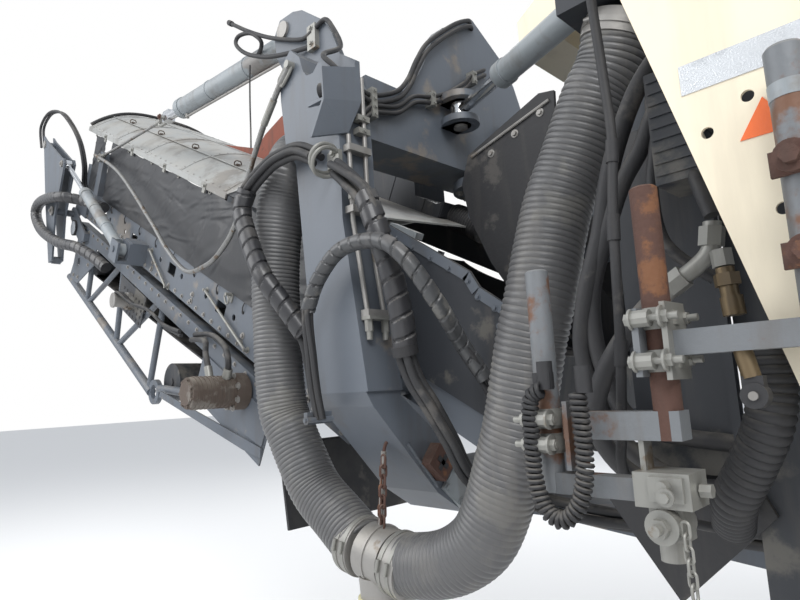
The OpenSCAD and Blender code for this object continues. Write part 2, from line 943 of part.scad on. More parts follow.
module rear_hydraulic_hoses() {
  color(black) {
    swept(bundle_rear, bundle_radius, 10, 4);
    swept(wrapped_route, 26, 10, 4);
  }
}

module front_hydraulic_hoses() {
  color(black)
    swept(bundle_front, bundle_radius, 10, 4);
}

module slack_rope() {
  color(steel)
    swept(rope_route, 9, 8, 4);
}

translate(place) mount_flange();
translate(place) frame_walls();
translate(place) upper_console();
translate(place) lower_console();
translate(place) cylinder_lugs();
translate(place) transfer_hood();
translate(place) transfer_aprons();
translate(place) transfer_belt();
translate(place) transfer_drum();
translate(place) suction_box();
translate(place) centre_cover();
translate(place) side_fairings();
translate(place) filter_box();
translate(place) side_aprons();
translate(place) sensor_post();
translate(place) sensor_tubes();
translate(place) sensor_holder();
translate(place) top_beam();
translate(place) columns();
translate(place) lower_yoke();
translate(place) lamp_guards();
translate(place) column_pipes();
translate(place) hose_tee();
translate(place) inner_side_plates();
translate(place) inner_posts();
translate(place) inner_crossbars();
translate(place) fold_hinges();
translate(place) inner_lugs();
translate(place) inner_roof();
translate(place) side_curtains();
translate(place) inner_belt();
translate(place) inner_rollers();
translate(place) receiving_hopper();
translate(place) suction_stub();
translate(place) air_duct();
translate(place) outer_side_plates();
translate(place) outer_crossbars();
translate(place) outer_hinge_lugs();
translate(place) outer_truss();
translate(place) outer_belt();
translate(place) outer_drums();
translate(place) drive_motor();
translate(place) discharge_hood();
translate(place) discharge_flap();
translate(place) fold_levers();
translate(place) fold_barrels();
translate(place) fold_rods();
translate(place) lift_barrels();
translate(place) lift_rods();
translate(place) lift_ropes();
translate(place) left_slew_barrel();
translate(place) left_slew_rod();
translate(place) right_slew_barrel();
translate(place) right_slew_rod();
translate(place) rear_suction_hose();
translate(place) front_suction_hose();
translate(place) rear_hydraulic_hoses();
translate(place) front_hydraulic_hoses();
translate(place) slack_rope();
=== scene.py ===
import json
import math

import bmesh
import bpy
import numpy as np
from mathutils import Matrix, Vector
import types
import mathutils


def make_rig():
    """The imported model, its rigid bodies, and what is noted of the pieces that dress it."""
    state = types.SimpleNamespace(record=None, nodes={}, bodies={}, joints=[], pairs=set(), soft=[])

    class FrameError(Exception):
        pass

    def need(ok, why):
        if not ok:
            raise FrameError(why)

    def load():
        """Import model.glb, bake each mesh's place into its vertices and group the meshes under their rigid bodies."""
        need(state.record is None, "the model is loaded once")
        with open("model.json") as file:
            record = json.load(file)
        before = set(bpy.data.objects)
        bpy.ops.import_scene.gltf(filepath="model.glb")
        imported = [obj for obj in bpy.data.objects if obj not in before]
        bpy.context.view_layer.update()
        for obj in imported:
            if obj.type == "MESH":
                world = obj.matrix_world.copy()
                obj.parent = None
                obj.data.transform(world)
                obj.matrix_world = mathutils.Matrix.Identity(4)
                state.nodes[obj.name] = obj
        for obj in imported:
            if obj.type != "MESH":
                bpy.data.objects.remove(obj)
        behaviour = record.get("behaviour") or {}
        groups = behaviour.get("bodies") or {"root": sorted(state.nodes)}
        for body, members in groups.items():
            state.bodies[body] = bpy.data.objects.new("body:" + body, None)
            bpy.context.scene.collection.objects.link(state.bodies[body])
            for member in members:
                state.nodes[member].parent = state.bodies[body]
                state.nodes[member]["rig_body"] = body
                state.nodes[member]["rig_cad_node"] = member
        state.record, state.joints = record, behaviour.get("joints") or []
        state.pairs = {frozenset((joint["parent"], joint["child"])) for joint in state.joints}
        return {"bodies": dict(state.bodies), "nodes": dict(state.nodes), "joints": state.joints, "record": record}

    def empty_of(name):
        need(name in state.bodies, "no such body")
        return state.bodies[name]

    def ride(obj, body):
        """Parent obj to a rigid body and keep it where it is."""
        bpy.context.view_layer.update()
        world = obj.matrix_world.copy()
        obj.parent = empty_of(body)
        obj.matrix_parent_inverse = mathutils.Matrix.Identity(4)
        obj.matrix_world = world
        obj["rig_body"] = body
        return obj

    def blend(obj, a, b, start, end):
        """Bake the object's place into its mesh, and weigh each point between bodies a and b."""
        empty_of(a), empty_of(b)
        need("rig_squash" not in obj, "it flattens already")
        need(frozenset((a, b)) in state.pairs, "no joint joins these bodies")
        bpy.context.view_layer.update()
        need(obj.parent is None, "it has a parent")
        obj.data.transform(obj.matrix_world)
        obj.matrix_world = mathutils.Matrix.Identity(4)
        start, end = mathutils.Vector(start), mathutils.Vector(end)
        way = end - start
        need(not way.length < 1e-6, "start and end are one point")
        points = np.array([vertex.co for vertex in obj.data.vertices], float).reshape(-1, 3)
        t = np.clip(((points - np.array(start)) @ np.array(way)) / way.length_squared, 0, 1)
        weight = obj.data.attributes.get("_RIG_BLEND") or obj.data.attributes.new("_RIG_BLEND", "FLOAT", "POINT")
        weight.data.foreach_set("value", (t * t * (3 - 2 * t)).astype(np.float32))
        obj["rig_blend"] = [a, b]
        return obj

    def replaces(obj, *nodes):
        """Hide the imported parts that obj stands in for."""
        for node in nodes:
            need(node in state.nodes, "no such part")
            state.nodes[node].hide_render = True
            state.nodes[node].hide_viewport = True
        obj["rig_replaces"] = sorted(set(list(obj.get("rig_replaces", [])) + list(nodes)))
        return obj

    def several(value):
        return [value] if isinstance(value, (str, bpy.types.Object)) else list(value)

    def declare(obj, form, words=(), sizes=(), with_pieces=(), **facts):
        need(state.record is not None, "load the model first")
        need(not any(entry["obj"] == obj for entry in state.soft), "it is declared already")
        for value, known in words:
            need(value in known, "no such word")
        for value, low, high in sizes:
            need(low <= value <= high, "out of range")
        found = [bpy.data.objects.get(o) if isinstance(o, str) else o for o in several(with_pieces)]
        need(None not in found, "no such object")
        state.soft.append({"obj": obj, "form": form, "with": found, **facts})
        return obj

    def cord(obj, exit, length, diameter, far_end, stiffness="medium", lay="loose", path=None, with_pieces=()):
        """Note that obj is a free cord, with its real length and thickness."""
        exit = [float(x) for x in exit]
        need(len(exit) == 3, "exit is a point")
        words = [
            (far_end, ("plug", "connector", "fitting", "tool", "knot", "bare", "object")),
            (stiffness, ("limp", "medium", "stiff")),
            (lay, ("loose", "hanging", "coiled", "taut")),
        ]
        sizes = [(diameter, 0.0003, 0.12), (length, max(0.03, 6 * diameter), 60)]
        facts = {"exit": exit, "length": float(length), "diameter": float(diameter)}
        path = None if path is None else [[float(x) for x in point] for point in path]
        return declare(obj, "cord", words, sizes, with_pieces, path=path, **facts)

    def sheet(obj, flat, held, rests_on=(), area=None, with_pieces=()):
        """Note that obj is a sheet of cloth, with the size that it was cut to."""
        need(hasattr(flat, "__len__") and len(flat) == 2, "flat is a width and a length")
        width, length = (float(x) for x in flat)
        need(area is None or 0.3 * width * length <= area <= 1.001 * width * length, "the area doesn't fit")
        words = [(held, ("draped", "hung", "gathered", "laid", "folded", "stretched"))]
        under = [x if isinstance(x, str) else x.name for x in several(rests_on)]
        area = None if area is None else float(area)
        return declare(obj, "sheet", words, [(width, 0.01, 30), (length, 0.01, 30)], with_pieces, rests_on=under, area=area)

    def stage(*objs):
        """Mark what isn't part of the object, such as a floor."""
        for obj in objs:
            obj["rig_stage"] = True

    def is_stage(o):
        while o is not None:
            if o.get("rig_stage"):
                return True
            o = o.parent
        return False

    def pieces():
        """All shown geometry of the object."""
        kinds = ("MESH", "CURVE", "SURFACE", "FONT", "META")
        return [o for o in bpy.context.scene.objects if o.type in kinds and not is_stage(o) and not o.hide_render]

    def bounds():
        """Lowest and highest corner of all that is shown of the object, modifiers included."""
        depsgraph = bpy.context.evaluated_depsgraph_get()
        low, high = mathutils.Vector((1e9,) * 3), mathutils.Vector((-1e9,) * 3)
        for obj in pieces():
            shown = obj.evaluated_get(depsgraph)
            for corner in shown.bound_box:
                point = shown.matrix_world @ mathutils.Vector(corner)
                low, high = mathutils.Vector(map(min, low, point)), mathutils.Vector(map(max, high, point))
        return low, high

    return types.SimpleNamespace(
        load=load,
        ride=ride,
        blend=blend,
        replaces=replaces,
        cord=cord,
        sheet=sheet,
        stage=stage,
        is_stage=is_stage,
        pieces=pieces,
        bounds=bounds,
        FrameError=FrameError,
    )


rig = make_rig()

bl_info = {
    "name": "Conveyor unit looks",
    "version": (1, 0, 0),
    "blender": (4, 5, 0),
    "location": "View3D > Sidebar > Conveyor",
    "description": "Builds the looks of a milling machine's front conveyor unit round its packed CAD frame",
    "category": "Object",
}

# Places are in millimetres in the machine frame: x forwards from the slewing axis, z up from the ground.
ROW_SHIFT = np.array([2000.0, 0.0, -1900.0])
# The belt's rise, and the height of its line over the slewing axis.
SLOPE = math.radians(28.0)
BELT_HEIGHT = 1157.0
# Faces across from the middle: conveyor sides, cream side covers, and the plane of the sensor tubes.
SIDE_FACE = 600
COVER_FACE = 1256.0
SENSOR_Y = 1300
# The photograph's camera: its place, then its turn left, up and about its own axis.
CAMERA_PLACE = (-1600.0, 2200.0, 1700.0)
CAMERA_TURN = (-45.0, 8.5, 3.0)
# Routes of the hoses and the rope, from the machine towards the conveyor's head.
REAR_ROUTE = np.array([(-948, 600, 2686), (-906, 605, 2580), (-861, 620, 2500), (-791, 645, 2335),
                       (-745, 670, 2220), (-718, 695, 2104), (-687, 730, 1931), (-652, 735, 1820),
                       (-621, 735, 1709), (-590, 735, 1597), (-548, 735, 1484), (-488, 735, 1341),
                       (-430, 737, 1249), (-338, 738, 1184), (-232, 738, 1147), (-94, 738, 1126)], float)
FRONT_ROUTE = np.array([(121, 738, 1161), (234, 742, 1240), (357, 752, 1333), (426, 765, 1445),
                        (478, 778, 1550), (520, 788, 1643), (537, 794, 1807), (539, 796, 1974),
                        (546, 796, 2146), (534, 794, 2318), (492, 790, 2529), (448, 776, 2669),
                        (476, 700, 2756), (525, 600, 2781), (560, 490, 2766)], float)
BUNDLE_REAR = np.array([(-50, 930, 2478), (-110, 932, 2425), (-194, 930, 2336), (-234, 925, 2226),
                        (-262, 900, 2076), (-274, 870, 1917), (-261, 850, 1824), (-268, 820, 1728),
                        (-299, 790, 1648), (-332, 745, 1536), (-362, 680, 1407), (-470, 570, 1345),
                        (-700, 500, 1300), (-1000, 460, 1290), (-1214, 450, 1290)], float)
BUNDLE_FRONT = np.array([(60, 932, 2550), (158, 936, 2608), (263, 936, 2622), (363, 936, 2614),
                         (510, 945, 2548), (550, 948, 2459), (483, 950, 2308), (400, 945, 2165),
                         (340, 905, 2060), (270, 850, 1926), (262, 825, 1811), (276, 800, 1690)], float)
WRAPPED_ROUTE = np.array([(59, 950, 1614), (75, 955, 1700), (85, 960, 1817), (97, 960, 1992), (34, 960, 2088),
                          (-91, 960, 2169), (-264, 960, 2165), (-370, 950, 2096), (-430, 870, 1945),
                          (-400, 740, 1835), (-440, 680, 1720), (-500, 620, 1600), (-760, 500, 1500),
                          (-1214, 430, 1480)], float)
ROPE_ROUTE = np.array([(262, 893, 3010), (330, 892, 2962), (386, 890, 2913), (480, 880, 2841),
                       (648, 850, 2698), (836, 820, 2496), (1020, 800, 2405), (1211, 780, 2375),
                       (1468, 760, 2397), (1760, 740, 2580), (2054, 720, 2831), (2665, 695, 3330),
                       (3225, 682, 3650)], float)
# Pins of the lift cylinder and its rope, and the two ends of the slewing cylinder.
LIFT_PIN = np.array([514.0, 655.0, 3347.0])
ROPE_PIN = np.array([3193.0, 655.0, 3622.0])
SLEW_EYE = np.array([-60.0, 230.0, 2890.0])
SLEW_BASE = np.array([-1040.0, 590.0, 2890.0])
# Middle of the left block on the bracket's lower arm.
ARM_MIDDLE = np.array([-101.0, 575.0, 1440.0])
# Distance between the long curtains' eyelets.
EYELET_SPACING = 465.0
# The way out of the machine's left side.
OUT = np.array((0, 1.0, 0))
# Socket kinds of the shader groups.
NUMBER, VECTOR, COLOUR = "NodeSocketFloat", "NodeSocketVector", "NodeSocketColor"
MATERIALS = {}
FRAME = {}


def row(points):
    """Machine millimetres to metres in the row frame: (point + shift) / 1000."""
    return (np.asarray(points, float) + ROW_SHIFT) / 1000.0


def on_slope(points):
    """Slope frame (u along the belt, y across, w square to it) to the machine frame, a turn by the slope."""
    p = np.asarray(points, float)
    u, y, w = p[..., 0], p[..., 1], p[..., 2] + BELT_HEIGHT
    c, s = math.cos(SLOPE), math.sin(SLOPE)
    return np.stack([u * c - w * s, y, u * s + w * c], axis=-1)


def unit(v):
    """The vector, or each row of vectors, at length 1."""
    v = np.asarray(v, float)
    return v / np.maximum(np.linalg.norm(v, axis=-1, keepdims=True), 1e-9)


def smooth_path(points, spacing):
    """Catmull-Rom curve through the points, resampled so that its steps are about the spacing long."""
    p = np.asarray(points, float)
    q = np.vstack([p[0], p, p[-1]])
    t = np.linspace(0, 1, 24, endpoint=False)[:, None]
    pieces = []
    for a, b, c, d in zip(q[:-3], q[1:-2], q[2:-1], q[3:]):
        pieces.append(0.5 * (2 * b + (c - a) * t + (2 * a - 5 * b + 4 * c - d) * t ** 2
                             + (3 * b - a - 3 * c + d) * t ** 3))
    line = np.vstack(pieces + [p[-1:]])
    s = np.concatenate([[0], np.cumsum(np.linalg.norm(np.diff(line, axis=0), axis=1))])
    n = max(3, int(s[-1] / spacing) + 1)
    at = np.linspace(0, s[-1], n)
    return np.stack([np.interp(at, s, line[:, k]) for k in range(3)], axis=1), at


def path_frames(path):
    """Tangent, side and top at each point; the side is carried along the path so that it doesn't twist."""
    tangent = unit(np.gradient(path, axis=0))
    side = np.zeros_like(path)
    first = np.cross(tangent[0], (0, 0, 1.0))
    if np.linalg.norm(first) < 0.1:
        first = np.cross(tangent[0], (0, 1.0, 0))
    side[0] = unit(first)
    for i in range(1, len(path)):
        s = side[i - 1] - tangent[i] * np.dot(side[i - 1], tangent[i])
        side[i] = s / max(np.linalg.norm(s), 1e-9)
    return tangent, side, np.cross(side, tangent)


def join(parts):
    """One part (points, quads, triangles) out of several, with the face numbers moved on."""
    points, quads, tris, n = [], [], [], 0
    for p, q, t in parts:
        points.append(p)
        quads.append(np.asarray(q, int).reshape(-1, 4) + n)
        tris.append(np.asarray(t, int).reshape(-1, 3) + n)
        n += len(p)
    return np.vstack(points), np.vstack(quads), np.vstack(tris)


def grid(points, wrap=False):
    """Part from a grid of points (rows, columns, 3); with wrap the last column joins the first."""
    n, m = points.shape[:2]
    i = np.arange(n - 1)[:, None]
    j = np.arange(m if wrap else m - 1)[None, :]
    k = (j + 1) % m
    quads = np.stack([i * m + j, i * m + k, (i + 1) * m + k, (i + 1) * m + j], axis=-1).reshape(-1, 4)
    return points.reshape(-1, 3), quads, np.zeros((0, 3), int)


def tube(path, radius, sides=12):
    """Round closed tube: each ring is centre + radius * (cos a * side + sin a * top).

    The radius is one number, or changes by ring, or by ring and angle.
    """
    path = np.asarray(path, float)
    tangent, side, top = path_frames(path)
    a = np.linspace(0, 2 * math.pi, sides, endpoint=False)
    r = np.broadcast_to(np.asarray(radius, float), (len(path),)) if np.ndim(radius) < 2 else radius
    r = r[:, None] if r.ndim == 1 else r
    ring = path[:, None] + r[..., None] * (np.cos(a)[None, :, None] * side[:, None]
                                           + np.sin(a)[None, :, None] * top[:, None])
    p, q, _ = grid(ring, wrap=True)
    n = len(path)
    ends = np.vstack([path[0], path[-1]])
    j = np.arange(sides)
    k = (j + 1) % sides
    first = np.stack([np.full(sides, n * sides), k, j], axis=1)
    last = np.stack([np.full(sides, n * sides + 1), (n - 1) * sides + j, (n - 1) * sides + k], axis=1)
    return np.vstack([p, ends]), q, np.vstack([first, last])


def rod(a, b, radius, sides=24, radius_end=None):
    """Straight round bar or cone from a to b."""
    ends = radius if radius_end is None else np.array([radius, radius_end], float)
    return tube(np.array([a, b], float), ends, sides)


def block(low, high):
    """Box between two corners."""
    x0, y0, z0 = np.minimum(low, high)
    x1, y1, z1 = np.maximum(low, high)
    p = np.array([(x, y, z) for z in (z0, z1) for y in (y0, y1) for x in (x0, x1)], float)
    q = np.array([(0, 2, 3, 1), (4, 5, 7, 6), (0, 1, 5, 4), (2, 6, 7, 3), (0, 4, 6, 2), (1, 3, 7, 5)])
    return p, q, np.zeros((0, 3), int)


def loop_tube(centre, axis, across, length, width, radius, sides=8, steps=24):
    """Closed ring with straight sides, such as a chain link or a handle, in the plane square to the axis."""
    axis, across = unit(axis), unit(across)
    up = np.cross(axis, across)
    a = np.linspace(0, 2 * math.pi, steps, endpoint=False)
    r = width / 2
    x = r * np.cos(a) + np.sign(np.cos(a)) * max(length / 2 - r, 0)
    line = np.asarray(centre) + x[:, None] * across + (r * np.sin(a))[:, None] * up
    out = unit(np.cos(a)[:, None] * across + np.sin(a)[:, None] * up)
    b = np.linspace(0, 2 * math.pi, sides, endpoint=False)
    ring = line[:, None] + radius * (np.cos(b)[None, :, None] * out[:, None]
                                     + np.sin(b)[None, :, None] * axis[None, None])
    ring = np.concatenate([ring, ring[:1]])
    return grid(ring[::-1], wrap=True)


def bar(place, way, low, high, radius, sides=24, radius_end=None):
    """Straight round bar or cone along a way, from place + way * low to place + way * high."""
    return rod(place + way * low, place + way * high, radius, sides, radius_end)


def hose(points, radius, sides=12, spacing=12):
    """Smooth round hose through the points."""
    return tube(smooth_path(points, spacing)[0], radius, sides)


def bolt(place, axis, size=12.0):
    """Hexagon head on a washer, size across the flats."""
    place, axis = np.asarray(place, float), unit(axis)
    return join([rod(place - axis, place + axis * size * 0.62, size * 0.577, 6),
                 rod(place - axis, place + axis * size * 0.16, size * 0.95, 20)])


def plate(outline, frame, depth):
    """Flat plate: a convex outline in the plane of a frame (origin, x way, y way), pulled out by the depth."""
    origin, ex, ey = (np.asarray(v, float) for v in frame)
    ez = np.cross(ex, ey)
    o = np.asarray(outline, float)
    n = len(o)
    low = origin + o[:, :1] * ex + o[:, 1:] * ey
    p = np.vstack([low, low + ez * depth, low.mean(0)[None], (low + ez * depth).mean(0)[None]])
    j = np.arange(n)
    k = (j + 1) % n
    q = np.stack([j, k, n + k, n + j], axis=1)
    bottom = np.stack([np.full(n, 2 * n), k, j], axis=1)
    top = np.stack([np.full(n, 2 * n + 1), n + j, n + k], axis=1)
    return p, q, np.vstack([bottom, top])


def moved(part, change):
    """The part with its points put through a function of places."""
    p, q, t = part
    return change(p), q, t


def slope_block(low, high):
    """Box between two corners of the slope frame."""
    return moved(block(low, high), on_slope)


def slope_rod(a, b, radius, sides=24):
    """Straight round bar between two places of the slope frame."""
    return rod(on_slope(a), on_slope(b), radius, sides)


def mirrored(part):
    """The part on the other side of the machine, with its faces turned to stay outward."""
    p, q, t = part
    return p * (1, -1, 1), np.asarray(q)[:, ::-1], np.asarray(t)[:, ::-1]


def joined(parts):
    """A list of parts as one part; a single part stays as it is."""
    return join(parts) if isinstance(parts, list) else parts


def piece(name, parts, material, body=None, crease=35.0, closed=True):
    """Mesh object in the row frame, from a part or a list of parts, with its material; it rides on a body."""
    points, quads, tris = joined(parts)
    mesh = bpy.data.meshes.new(name)
    points = row(points)
    loops = np.concatenate([quads.ravel(), tris.ravel()]).astype(np.int32)
    starts = np.concatenate([np.arange(len(quads)) * 4,
                             len(quads) * 4 + np.arange(len(tris)) * 3]).astype(np.int32)
    mesh.vertices.add(len(points))
    mesh.vertices.foreach_set("co", points.astype(np.float32).ravel())
    mesh.loops.add(len(loops))
    mesh.loops.foreach_set("vertex_index", loops)
    mesh.polygons.add(len(starts))
    mesh.polygons.foreach_set("loop_start", starts)
    mesh.update(calc_edges=True)
    mesh.validate()
    if closed:
        work = bmesh.new()
        work.from_mesh(mesh)
        bmesh.ops.recalc_face_normals(work, faces=work.faces)
        work.to_mesh(mesh)
        work.free()
    mesh.polygons.foreach_set("use_smooth", np.ones(len(mesh.polygons), bool))
    mesh.set_sharp_from_angle(angle=math.radians(crease))
    mesh.materials.append(MATERIALS[material])
    obj = bpy.data.objects.new(name, mesh)
    bpy.context.scene.collection.objects.link(obj)
    if body:
        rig.ride(obj, body)
    return obj


def pair(name, parts, material, body):
    """Piece that stands on both sides of the machine."""
    left = joined(parts)
    return piece(name, join([left, mirrored(left)]), material, body)


def bending(name, part, material, bodies, start, end, crease=35.0):
    """Piece that bends between two bodies; start and end are machine places."""
    obj = piece(name, part, material, crease=crease)
    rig.blend(obj, bodies[0], bodies[1], tuple(row(start)), tuple(row(end)))
    return obj


def smooth_step(x, low, high):
    """0 below low, 1 above high and 3t^2 - 2t^3 between."""
    t = np.clip((x - low) / (high - low), 0, 1)
    return t * t * (3 - 2 * t)


def ribbed(points, radius, pitch, depth, sides=36):
    """Ribbed hose: radius - depth * (1 - |sin(pi s / pitch)|^0.6), where s is the length along the hose."""
    path, s = smooth_path(points, pitch / 7)
    r = radius - depth * (1 - np.abs(np.sin(math.pi * s / pitch)) ** 0.6)
    return tube(path, r, sides)


def spiral_wrapped(points, radius, pitch, height, sides=28):
    """Hoses in a spiral band that stands out by the height where (s / pitch + a / 2 pi) mod 1 < 0.86."""
    path, s = smooth_path(points, pitch / 22)
    a = np.linspace(0, 2 * math.pi, sides, endpoint=False)
    share = (s[:, None] / pitch + a[None] / (2 * math.pi)) % 1.0
    band = smooth_step(share, 0.0, 0.035) * (1 - smooth_step(share, 0.84, 0.875))
    lobes = 0.03 * radius * np.cos(3 * a)[None] * np.ones_like(share)
    return tube(path, radius - height + height * band + lobes, sides)


def hose_group(points, radius, count, spread, turn=1.2, seed=3):
    """Bare hoses side by side: each keeps its place on a ring that turns slowly along the route."""
    rng = np.random.default_rng(seed)
    path, s = smooth_path(points, 18)
    tangent, side, top = path_frames(path)
    parts = []
    for i in range(count):
        a = 2 * math.pi * i / count + turn * s / s[-1] + 0.25 * np.sin(s / 170 + rng.uniform(0, 6))
        away = spread * (1 + 0.25 * np.sin(s / 240 + rng.uniform(0, 6)))
        line = path + away[:, None] * (np.cos(a)[:, None] * side + np.sin(a)[:, None] * top)
        parts.append(tube(line, radius, 12))
    return join(parts)


def stranded(points, radius, lay=90.0, sides=18):
    """Wire rope of six strands: radius * (0.82 + 0.18 |cos 3(a - 2 pi s / lay)|)."""
    path, s = smooth_path(points, lay / 12)
    a = np.linspace(0, 2 * math.pi, sides, endpoint=False)
    wave = np.abs(np.cos(3 * (a[None] - 2 * math.pi * s[:, None] / lay)))
    return tube(path, radius * (0.82 + 0.18 * wave), sides)


def band_clamp(centre, axis, radius, width=16.0):
    """Hose clamp: a steel band with its screw housing."""
    centre, axis = np.asarray(centre, float), unit(axis)
    side = unit(np.cross(axis, (0.3, 1, 0.2)))
    top = np.cross(side, axis)
    a, b = centre - axis * width / 2, centre + axis * width / 2
    outer = rod(a, b, radius + 2.5, 40)
    screw = centre + top * (radius + 7)
    return join([outer, rod(screw - side * 20, screw + side * 20, 7, 12)])


def chain_links(a, b, pitch, width, wire):
    """Straight chain from a to b: each link is turned a quarter against the one before."""
    a, b = np.asarray(a, float), np.asarray(b, float)
    way = unit(b - a)
    side = unit(np.cross(way, (0.2, 1, 0.1)))
    top = np.cross(way, side)
    n = int(np.linalg.norm(b - a) / pitch)
    return join([loop_tube(a + way * pitch * (i + 0.5), side if i % 2 else top, way, pitch + 2.6 * wire, width,
                           wire, 6, 16) for i in range(n)])


def node_group(name, inputs, outputs):
    """Empty shader node group with named sockets; gives the group, its input node and its output node."""
    tree = bpy.data.node_groups.new(name, "ShaderNodeTree")
    for label, kind, value in inputs:
        socket = tree.interface.new_socket(label, in_out="INPUT", socket_type=kind)
        if value is not None:
            socket.default_value = value
    for label, kind in outputs:
        tree.interface.new_socket(label, in_out="OUTPUT", socket_type=kind)
    return tree, tree.nodes.new("NodeGroupInput"), tree.nodes.new("NodeGroupOutput")


def added(tree, kind, operation=None, **values):
    """New shader node with its operation and some sockets set; an underscore stands for a space."""
    node = tree.nodes.new("ShaderNode" + kind)
    if operation:
        node.operation = operation
    for label, value in values.items():
        node.inputs[label.replace("_", " ")].default_value = value
    return node


def used_group(tree, group, **values):
    """Group node with some of its sockets set."""
    node = tree.nodes.new("ShaderNodeGroup")
    node.node_tree = group
    for label, value in values.items():
        node.inputs[label.replace("_", " ")].default_value = value
    return node


def wire(tree, *links):
    """Links between nodes, each given as a node and its output, then a node and its input."""
    for source, output, target, into in links:
        tree.links.new(source.outputs[output], target.inputs[into])


def patch_group():
    """Mask of soft patches: a smooth step of noise from 1 - share to 1 - share + softness."""
    tree, start, end = node_group("Patchy mask", [("Vector", VECTOR, None), ("Scale", NUMBER, 3.0),
                                                  ("Share", NUMBER, 0.5), ("Softness", NUMBER, 0.1)],
                                  [("Mask", NUMBER)])
    noise = added(tree, "TexNoise", Detail=8.0, Roughness=0.62)
    low = added(tree, "Math", "SUBTRACT")
    low.inputs[0].default_value = 1.0
    high = added(tree, "Math")
    spread = added(tree, "MapRange")
    spread.interpolation_type = "SMOOTHSTEP"
    wire(tree, (start, "Vector", noise, "Vector"), (start, "Scale", noise, "Scale"), (start, "Share", low, 1),
         (low, 0, high, 0), (start, "Softness", high, 1), (noise, "Fac", spread, "Value"),
         (low, 0, spread, "From Min"), (high, 0, spread, "From Max"), (spread, "Result", end, "Mask"))
    return tree


def streak_group(patches):
    """Mask of runs down the surface: the patchy mask on places squeezed along z."""
    tree, start, end = node_group("Run streaks", [("Vector", VECTOR, None), ("Scale", NUMBER, 9.0),
                                                  ("Share", NUMBER, 0.45)], [("Mask", NUMBER)])
    squeeze = added(tree, "VectorMath", "MULTIPLY")
    squeeze.inputs[1].default_value = (1.0, 1.0, 0.12)
    inner = used_group(tree, patches, Softness=0.16)
    wire(tree, (start, "Vector", squeeze, 0), (squeeze, 0, inner, "Vector"), (start, "Scale", inner, "Scale"),
         (start, "Share", inner, "Share"), (inner, "Mask", end, "Mask"))


def dust_group(patches):
    """Mask of dust that lies on faces that look up: amount * patches * (normal's z from 0.1 to 0.95)."""
    tree, start, end = node_group("Dust on top", [("Normal", VECTOR, None), ("Vector", VECTOR, None),
                                                  ("Amount", NUMBER, 0.5)], [("Mask", NUMBER)])
    split = added(tree, "SeparateXYZ")
    spread = added(tree, "MapRange", From_Min=0.1, From_Max=0.95)
    inner = used_group(tree, patches, Scale=7.0, Share=0.62, Softness=0.25)
    product, amount = added(tree, "Math", "MULTIPLY"), added(tree, "Math", "MULTIPLY")
    wire(tree, (start, "Normal", split, 0), (split, "Z", spread, "Value"), (start, "Vector", inner, "Vector"),
         (spread, "Result", product, 0), (inner, "Mask", product, 1), (product, 0, amount, 0),
         (start, "Amount", amount, 1), (amount, 0, end, "Mask"))


def relief_group():
    """Normal of a fine uneven surface."""
    tree, start, end = node_group("Fine relief", [("Vector", VECTOR, None), ("Scale", NUMBER, 60.0),
                                                  ("Strength", NUMBER, 0.2)], [("Normal", VECTOR)])
    noise = added(tree, "TexNoise", Detail=6.0)
    bump = added(tree, "Bump", Distance=0.004)
    wire(tree, (start, "Vector", noise, "Vector"), (start, "Scale", noise, "Scale"),
         (start, "Strength", bump, "Strength"), (noise, "Fac", bump, "Height"),
         (bump, "Normal", end, "Normal"))


def colour_group():
    """Colour in four layers: base, worn patches, runs and dust, each mixed over the last by its mask."""
    layers = ("Worn", "Runs", "Dust")
    sockets = [(label, COLOUR, None) for label in ("Base", *layers)]
    sockets += [(label + " mask", NUMBER, 0.0) for label in layers]
    tree, start, end = node_group("Layered colour", sockets, [("Color", COLOUR)])
    last = start.outputs["Base"]
    for label in layers:
        mix = added(tree, "Mix")
        mix.data_type = "RGBA"
        tree.links.new(start.outputs[label + " mask"], mix.inputs["Factor"])
        tree.links.new(last, mix.inputs[6])
        tree.links.new(start.outputs[label], mix.inputs[7])
        last = mix.outputs[2]
    tree.links.new(last, end.inputs["Color"])


def weathered(name, base, worn, runs, dust, rough=0.5, metal=0.0, scale=3.0, share=0.42, run_amount=0.35,
              dust_amount=0.5, grain=60.0, relief=0.15, coat=0.0):
    """Material with a base colour, worn patches, runs and dust on top, from object coordinates."""
    groups = bpy.data.node_groups
    material = bpy.data.materials.new(name)
    material.use_nodes = True
    tree = material.node_tree
    shader = tree.nodes["Principled BSDF"]
    shader.inputs["Roughness"].default_value = rough
    shader.inputs["Metallic"].default_value = metal
    shader.inputs["Coat Weight"].default_value = coat
    place = added(tree, "TexCoord")
    shape = added(tree, "NewGeometry")
    patch = used_group(tree, groups["Patchy mask"], Scale=scale, Share=share, Softness=0.06)
    streak = used_group(tree, groups["Run streaks"], Scale=scale * 3.5, Share=0.5)
    faint = added(tree, "Math", "MULTIPLY")
    faint.inputs[1].default_value = run_amount
    top = used_group(tree, groups["Dust on top"], Amount=dust_amount)
    fine = used_group(tree, groups["Fine relief"], Scale=grain, Strength=relief)
    colour = used_group(tree, groups["Layered colour"], Base=(*base, 1), Worn=(*worn, 1), Runs=(*runs, 1),
                        Dust=(*dust, 1))
    for node in (patch, streak, top, fine):
        tree.links.new(place.outputs["Object"], node.inputs["Vector"])
    wire(tree, (shape, "Normal", top, "Normal"), (patch, "Mask", colour, "Worn mask"),
         (streak, "Mask", faint, 0), (faint, 0, colour, "Runs mask"), (top, "Mask", colour, "Dust mask"),
         (colour, "Color", shader, "Base Color"), (fine, "Normal", shader, "Normal"))
    MATERIALS[name] = material


